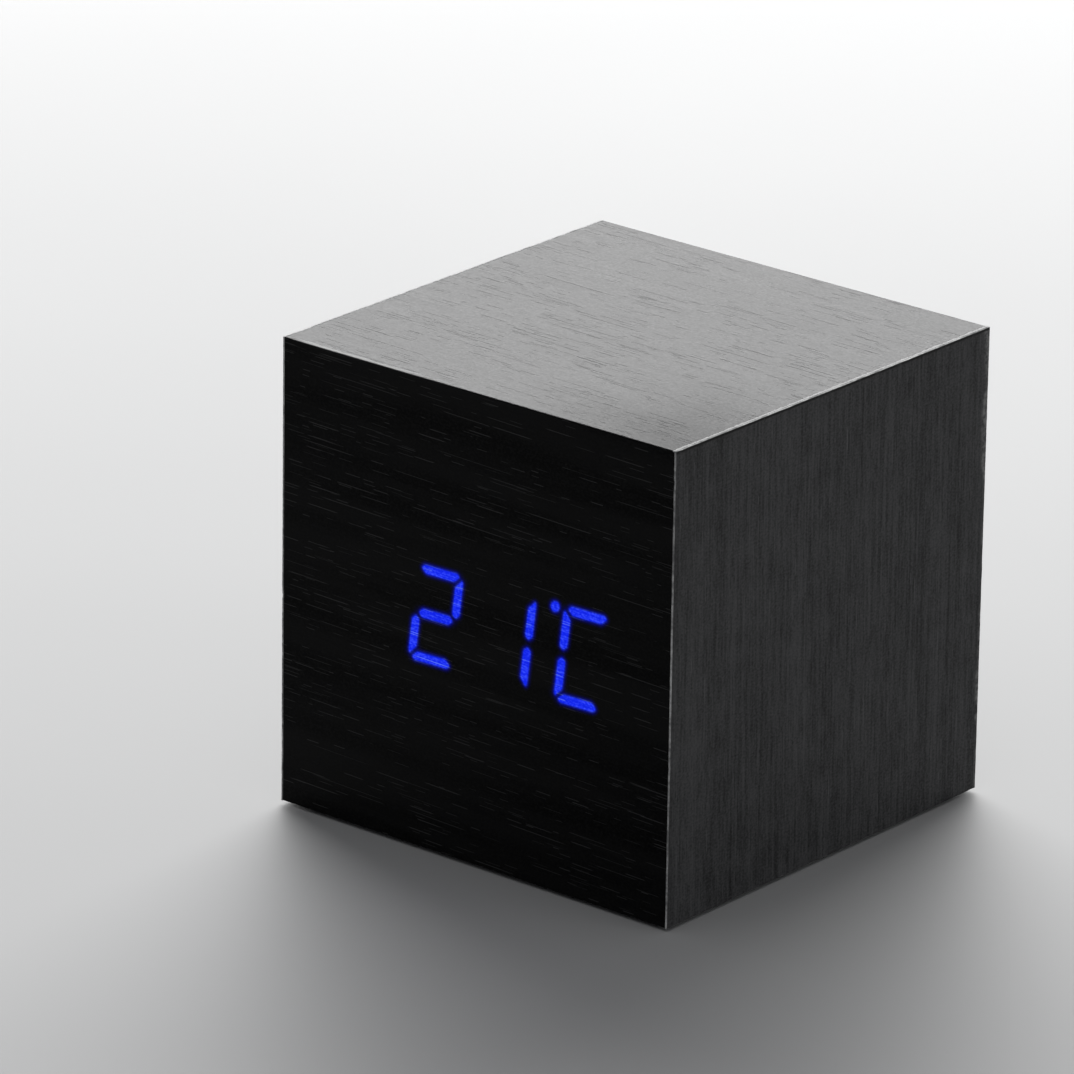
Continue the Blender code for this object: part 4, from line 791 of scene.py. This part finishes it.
def edge_loop(low, high, seed, inset):
    """Points round the sheet's rim, each pulled in by the inset and the wear there."""
    corners = [(low.y, low.z), (high.y, low.z), (high.y, high.z), (low.y, high.z)]
    points = []
    for (y0, z0), (y1, z1) in zip(corners, corners[1:] + corners[:1]):
        span = math.hypot(y1 - y0, z1 - z0)
        count = round(span / EDGE_STEP)
        inward = Vector((-(z1 - z0), y1 - y0)) / span
        for i in range(count):
            y, z = y0 + (y1 - y0) * i / count, z0 + (z1 - z0) * i / count
            away = min(i, count - i) / count * span
            pull = inset + wobble(y, z, seed) * min(1.0, away / WEAR_FADE)
            at = Vector((y, z)) + inward * pull
            if i == 0:
                at += Vector((y1 - y0, z1 - z0)) / span * inset
            points.append(at)
    return points


def side_sheet(name, node, sign, surface):
    """A side veneer with softened, slightly worn edges."""
    low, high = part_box(node)
    inner, outer = (low.x, high.x) if sign > 0 else (high.x, low.x)
    shape = bmesh.new()
    rows = (
        (inner, 0.0),
        (outer - sign * EDGE_ROUND, 0.0),
        (outer - sign * EDGE_ROUND * 0.3, EDGE_ROUND * 0.3),
        (outer, EDGE_ROUND),
    )
    loops = []
    for x, inset in rows:
        loops.append([shape.verts.new((x, y, z)) for y, z in edge_loop(low, high, sign, inset)])
    for first, second in zip(loops, loops[1:]):
        for i in range(len(first)):
            j = (i + 1) % len(first)
            shape.faces.new((first[i], first[j], second[j], second[i]))
    shape.faces.new(loops[0])
    shape.faces.new(loops[-1])
    mesh = finish_mesh(name, shape, angle=50)
    keep_flats_flat(add_piece(name, mesh, "case", "side_veneer", node))
    mesh.materials.append(surface)


# ---------------------------------------------------------------- cells
def cell_pieces():
    """Each cell as a sleeve over a metal can, with a rim, a nub and an insulating washer."""
    steel = metal("cell_steel", (0.55, 0.54, 0.52), (0.70, 0.69, 0.67), 0.28)
    sleeve = cell_sleeve()
    for number in range(1, 5):
        low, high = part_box(f"cell_{number}")
        sign = 1 if number % 2 else -1
        cell(number, low, high, sign, sleeve, steel)


def cell(number, low, high, sign, sleeve, steel):
    """One cell, turned from a profile that runs from the nub to the flat end."""
    radius, length = (high.z - low.z) / 2, high.x - low.x
    profile = [
        # radius, height, material of the band that ends here
        (0.0, length, STEEL),
        (1.6 * MM, length, STEEL),
        (1.85 * MM, length - 0.15 * MM, STEEL),
        (1.9 * MM, length - 0.75 * MM, STEEL),
        (2.4 * MM, length - 0.85 * MM, STEEL),
        (3.4 * MM, length - 0.85 * MM, STEEL),
        (3.5 * MM, length - 1.05 * MM, STEEL),
        (4.4 * MM, length - 1.0 * MM, SLEEVE),
        (radius - 0.25 * MM, length - 0.82 * MM, SLEEVE),
        (radius - 0.04 * MM, length - 1.05 * MM, SLEEVE),
        (radius, length - 1.4 * MM, SLEEVE),
        (radius, 0.6 * MM, SLEEVE),
        (radius - 0.05 * MM, 0.25 * MM, SLEEVE),
        (radius - 0.35 * MM, 0.05 * MM, SLEEVE),
        (radius - 0.9 * MM, 0.08 * MM, STEEL),
        (radius - 1.2 * MM, 0.0, STEEL),
        (0.0, 0.0, STEEL),
    ]
    shape = bmesh.new()
    along = shape.verts.layers.float.new("along")
    base = low.x if sign > 0 else high.x
    centre = (low + high) / 2
    rings = []
    for r, h, _ in profile:
        ring = []
        for i in range(CELL_STEPS if r else 1):
            angle = 2 * math.pi * i / CELL_STEPS
            at = (base + sign * h, centre.y + r * math.cos(angle), centre.z + r * math.sin(angle))
            vert = shape.verts.new(at)
            vert[along] = h / length
            ring.append(vert)
        rings.append(ring)
    for row, (first, second) in enumerate(zip(rings, rings[1:])):
        for i in range(CELL_STEPS):
            j = (i + 1) % CELL_STEPS
            ring = [first[i % len(first)], first[j % len(first)]]
            ring += [second[j % len(second)], second[i % len(second)]]
            corners = list(dict.fromkeys(ring))
            shape.faces.new(corners).material_index = profile[row + 1][2]
    name = f"battery_cell_{number}"
    mesh = finish_mesh(name, shape, angle=40)
    add_piece(name, mesh, "case", "cell_sleeve", f"cell_{number}")
    mesh.materials.append(sleeve)
    mesh.materials.append(steel)


# ---------------------------------------------------------------- marks
def key_marks():
    """A printed sign below each key: a bar for set, and arrowheads for up and down."""
    surface = ink()
    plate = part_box("control_plate")[1].y
    signs = {  # corners in mm
        "set": [(-1.1, -0.25), (1.1, -0.25), (1.1, 0.25), (-1.1, 0.25)],
        "up": [(-1.0, -0.6), (1.0, -0.6), (0.0, 0.8)],
        "down": [(-1.0, 0.6), (0.0, -0.8), (1.0, 0.6)],
    }
    for name, outline in signs.items():
        low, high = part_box(f"{name}_button")
        centre = (low + high) / 2
        z = low.z - MARK_DROP
        shape = bmesh.new()
        corners = [shape.verts.new((centre.x - x * MM, plate, z + h * MM)) for x, h in outline]
        face = shape.faces.new(corners)
        drawn = bmesh.ops.extrude_face_region(shape, geom=[face])["geom"]
        moved = [item for item in drawn if isinstance(item, bmesh.types.BMVert)]
        bmesh.ops.translate(shape, vec=(0, MARK_THICKNESS, 0), verts=moved)
        mesh = finish_mesh(f"{name}_key_mark", shape)
        add_piece(f"{name}_key_mark", mesh, "case", "black_plastic")
        mesh.materials.append(surface)


# ---------------------------------------------------------------- scene
PLASTICS = {
    # darker tone, lighter tone, roughness
    "black_plastic": ((0.011, 0.011, 0.012), (0.020, 0.020, 0.021), 0.45),
    "brown_plastic": ((0.060, 0.028, 0.015), (0.100, 0.050, 0.028), 0.4),
    "white_plastic": ((0.62, 0.60, 0.55), (0.74, 0.72, 0.67), 0.45),
}
METALS = {
    # darker tone, lighter tone, roughness
    "plated_steel": ((0.52, 0.51, 0.48), (0.68, 0.67, 0.64), 0.28),
    "aluminium": ((0.60, 0.61, 0.63), (0.74, 0.75, 0.77), 0.35),
}
CABLES = {
    # darker tone, lighter tone, spacing of a ribbon's cores
    "ribbon_cable": ((0.12, 0.12, 0.13), (0.30, 0.30, 0.32), 1.27 * MM),
    "red_wire": ((0.35, 0.012, 0.012), (0.52, 0.022, 0.020), None),
    "black_wire": ((0.010, 0.010, 0.010), (0.024, 0.024, 0.024), None),
}
GUIDES = {
    # colour, light given off
    "unlit_guide": ((0.42, 0.44, 0.46), 0.0),
    "lit_guide": ((0.05, 0.10, 0.60), 1.5),
}


def surfaces():
    """One material for each of the record's slots."""
    made = {
        "fibreboard": fibreboard(),
        "circuit_board": circuit_board(),
        "foot_rubber": rubber(),
    }
    for build, table in (
        (plastic, PLASTICS),
        (metal, METALS),
        (cable, CABLES),
        (light_guide, GUIDES),
    ):
        made.update({name: build(name, *look) for name, look in table.items()})
    return made


def dress_nodes(frame):
    """Gives each node that is shown as it is the material of its slot."""
    finishes = surfaces()
    for part in frame["record"]["subparts"]:
        surface = finishes.get(part["material_slot"])
        if surface is not None:
            node = frame["nodes"][part["node"]]
            node.data.materials.clear()
            node.data.materials.append(surface)


def make_camera():
    """Places the camera by its angles round the clock; roll turns it about its own axis."""
    azimuth = math.radians(CAMERA_AZIMUTH)
    elevation = math.radians(CAMERA_ELEVATION)
    roll = math.radians(CAMERA_ROLL)
    back = Vector(
        (
            math.sin(azimuth) * math.cos(elevation),
            -math.cos(azimuth) * math.cos(elevation),
            math.sin(elevation),
        )
    )
    right = Vector((0, 0, 1)).cross(back).normalized()
    up = back.cross(right)
    turned_right = math.cos(roll) * right + math.sin(roll) * up
    turned_up = -math.sin(roll) * right + math.cos(roll) * up
    lens = bpy.data.cameras.new("camera")
    lens.lens = CAMERA_LENS
    lens.sensor_width = SENSOR_WIDTH
    lens.clip_start = CLIP_START
    camera = bpy.data.objects.new("camera", lens)
    bpy.context.scene.collection.objects.link(camera)
    turn = Matrix((turned_right, turned_up, back)).transposed().to_4x4()
    camera.matrix_world = Matrix.Translation(CAMERA_AT) @ turn
    bpy.context.scene.camera = camera


def softbox(name, at, aim, size, radiance):
    """A large area light that the camera can't see. radiance is its brightness to the eye."""
    lamp = bpy.data.lights.new(name, "AREA")
    lamp.shape = "RECTANGLE"
    lamp.size, lamp.size_y = size
    lamp.energy = radiance * math.pi * size[0] * size[1]
    light = bpy.data.objects.new(name, lamp)
    bpy.context.scene.collection.objects.link(light)
    light.location = at
    light.rotation_euler = (Vector(at) - Vector(aim)).to_track_quat("Z", "Y").to_euler()
    light.visible_camera = False


def make_light():
    """Three softboxes and a dim, even sky."""
    for settings in LIGHTS:
        softbox(*settings)
    world = bpy.data.worlds.new("studio")
    world.use_nodes = True
    background = world.node_tree.nodes["Background"]
    background.inputs["Color"].default_value = (*WORLD_COLOUR, 1.0)
    background.inputs["Strength"].default_value = WORLD_STRENGTH
    bpy.context.scene.world = world
    bpy.context.scene.view_settings.view_transform = "Standard"


def make_floor():
    """A plain square far wider than the view."""
    shape = bmesh.new()
    bmesh.ops.create_grid(shape, x_segments=1, y_segments=1, size=FLOOR_SIZE / 2)
    mesh = bpy.data.meshes.new("floor")
    shape.to_mesh(mesh)
    shape.free()
    floor = bpy.data.objects.new("floor", mesh)
    bpy.context.scene.collection.objects.link(floor)
    mesh.materials.append(floor_surface())


with open("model.json") as file:
    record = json.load(file)
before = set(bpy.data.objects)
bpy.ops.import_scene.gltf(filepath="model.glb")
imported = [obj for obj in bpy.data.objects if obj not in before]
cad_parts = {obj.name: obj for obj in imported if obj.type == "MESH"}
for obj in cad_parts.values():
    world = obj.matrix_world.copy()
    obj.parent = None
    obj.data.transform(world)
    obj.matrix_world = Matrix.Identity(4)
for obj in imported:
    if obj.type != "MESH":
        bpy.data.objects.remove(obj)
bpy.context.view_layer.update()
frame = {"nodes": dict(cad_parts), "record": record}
make_camera()
make_light()
make_floor()
dress_nodes(frame)
veneer_wrap(frame["nodes"])
side_surface = side_wood()
side_sheet("left_side_veneer", "left_veneer", -1, side_surface)
side_sheet("right_side_veneer", "right_veneer", 1, side_surface)
cell_pieces()
key_marks()
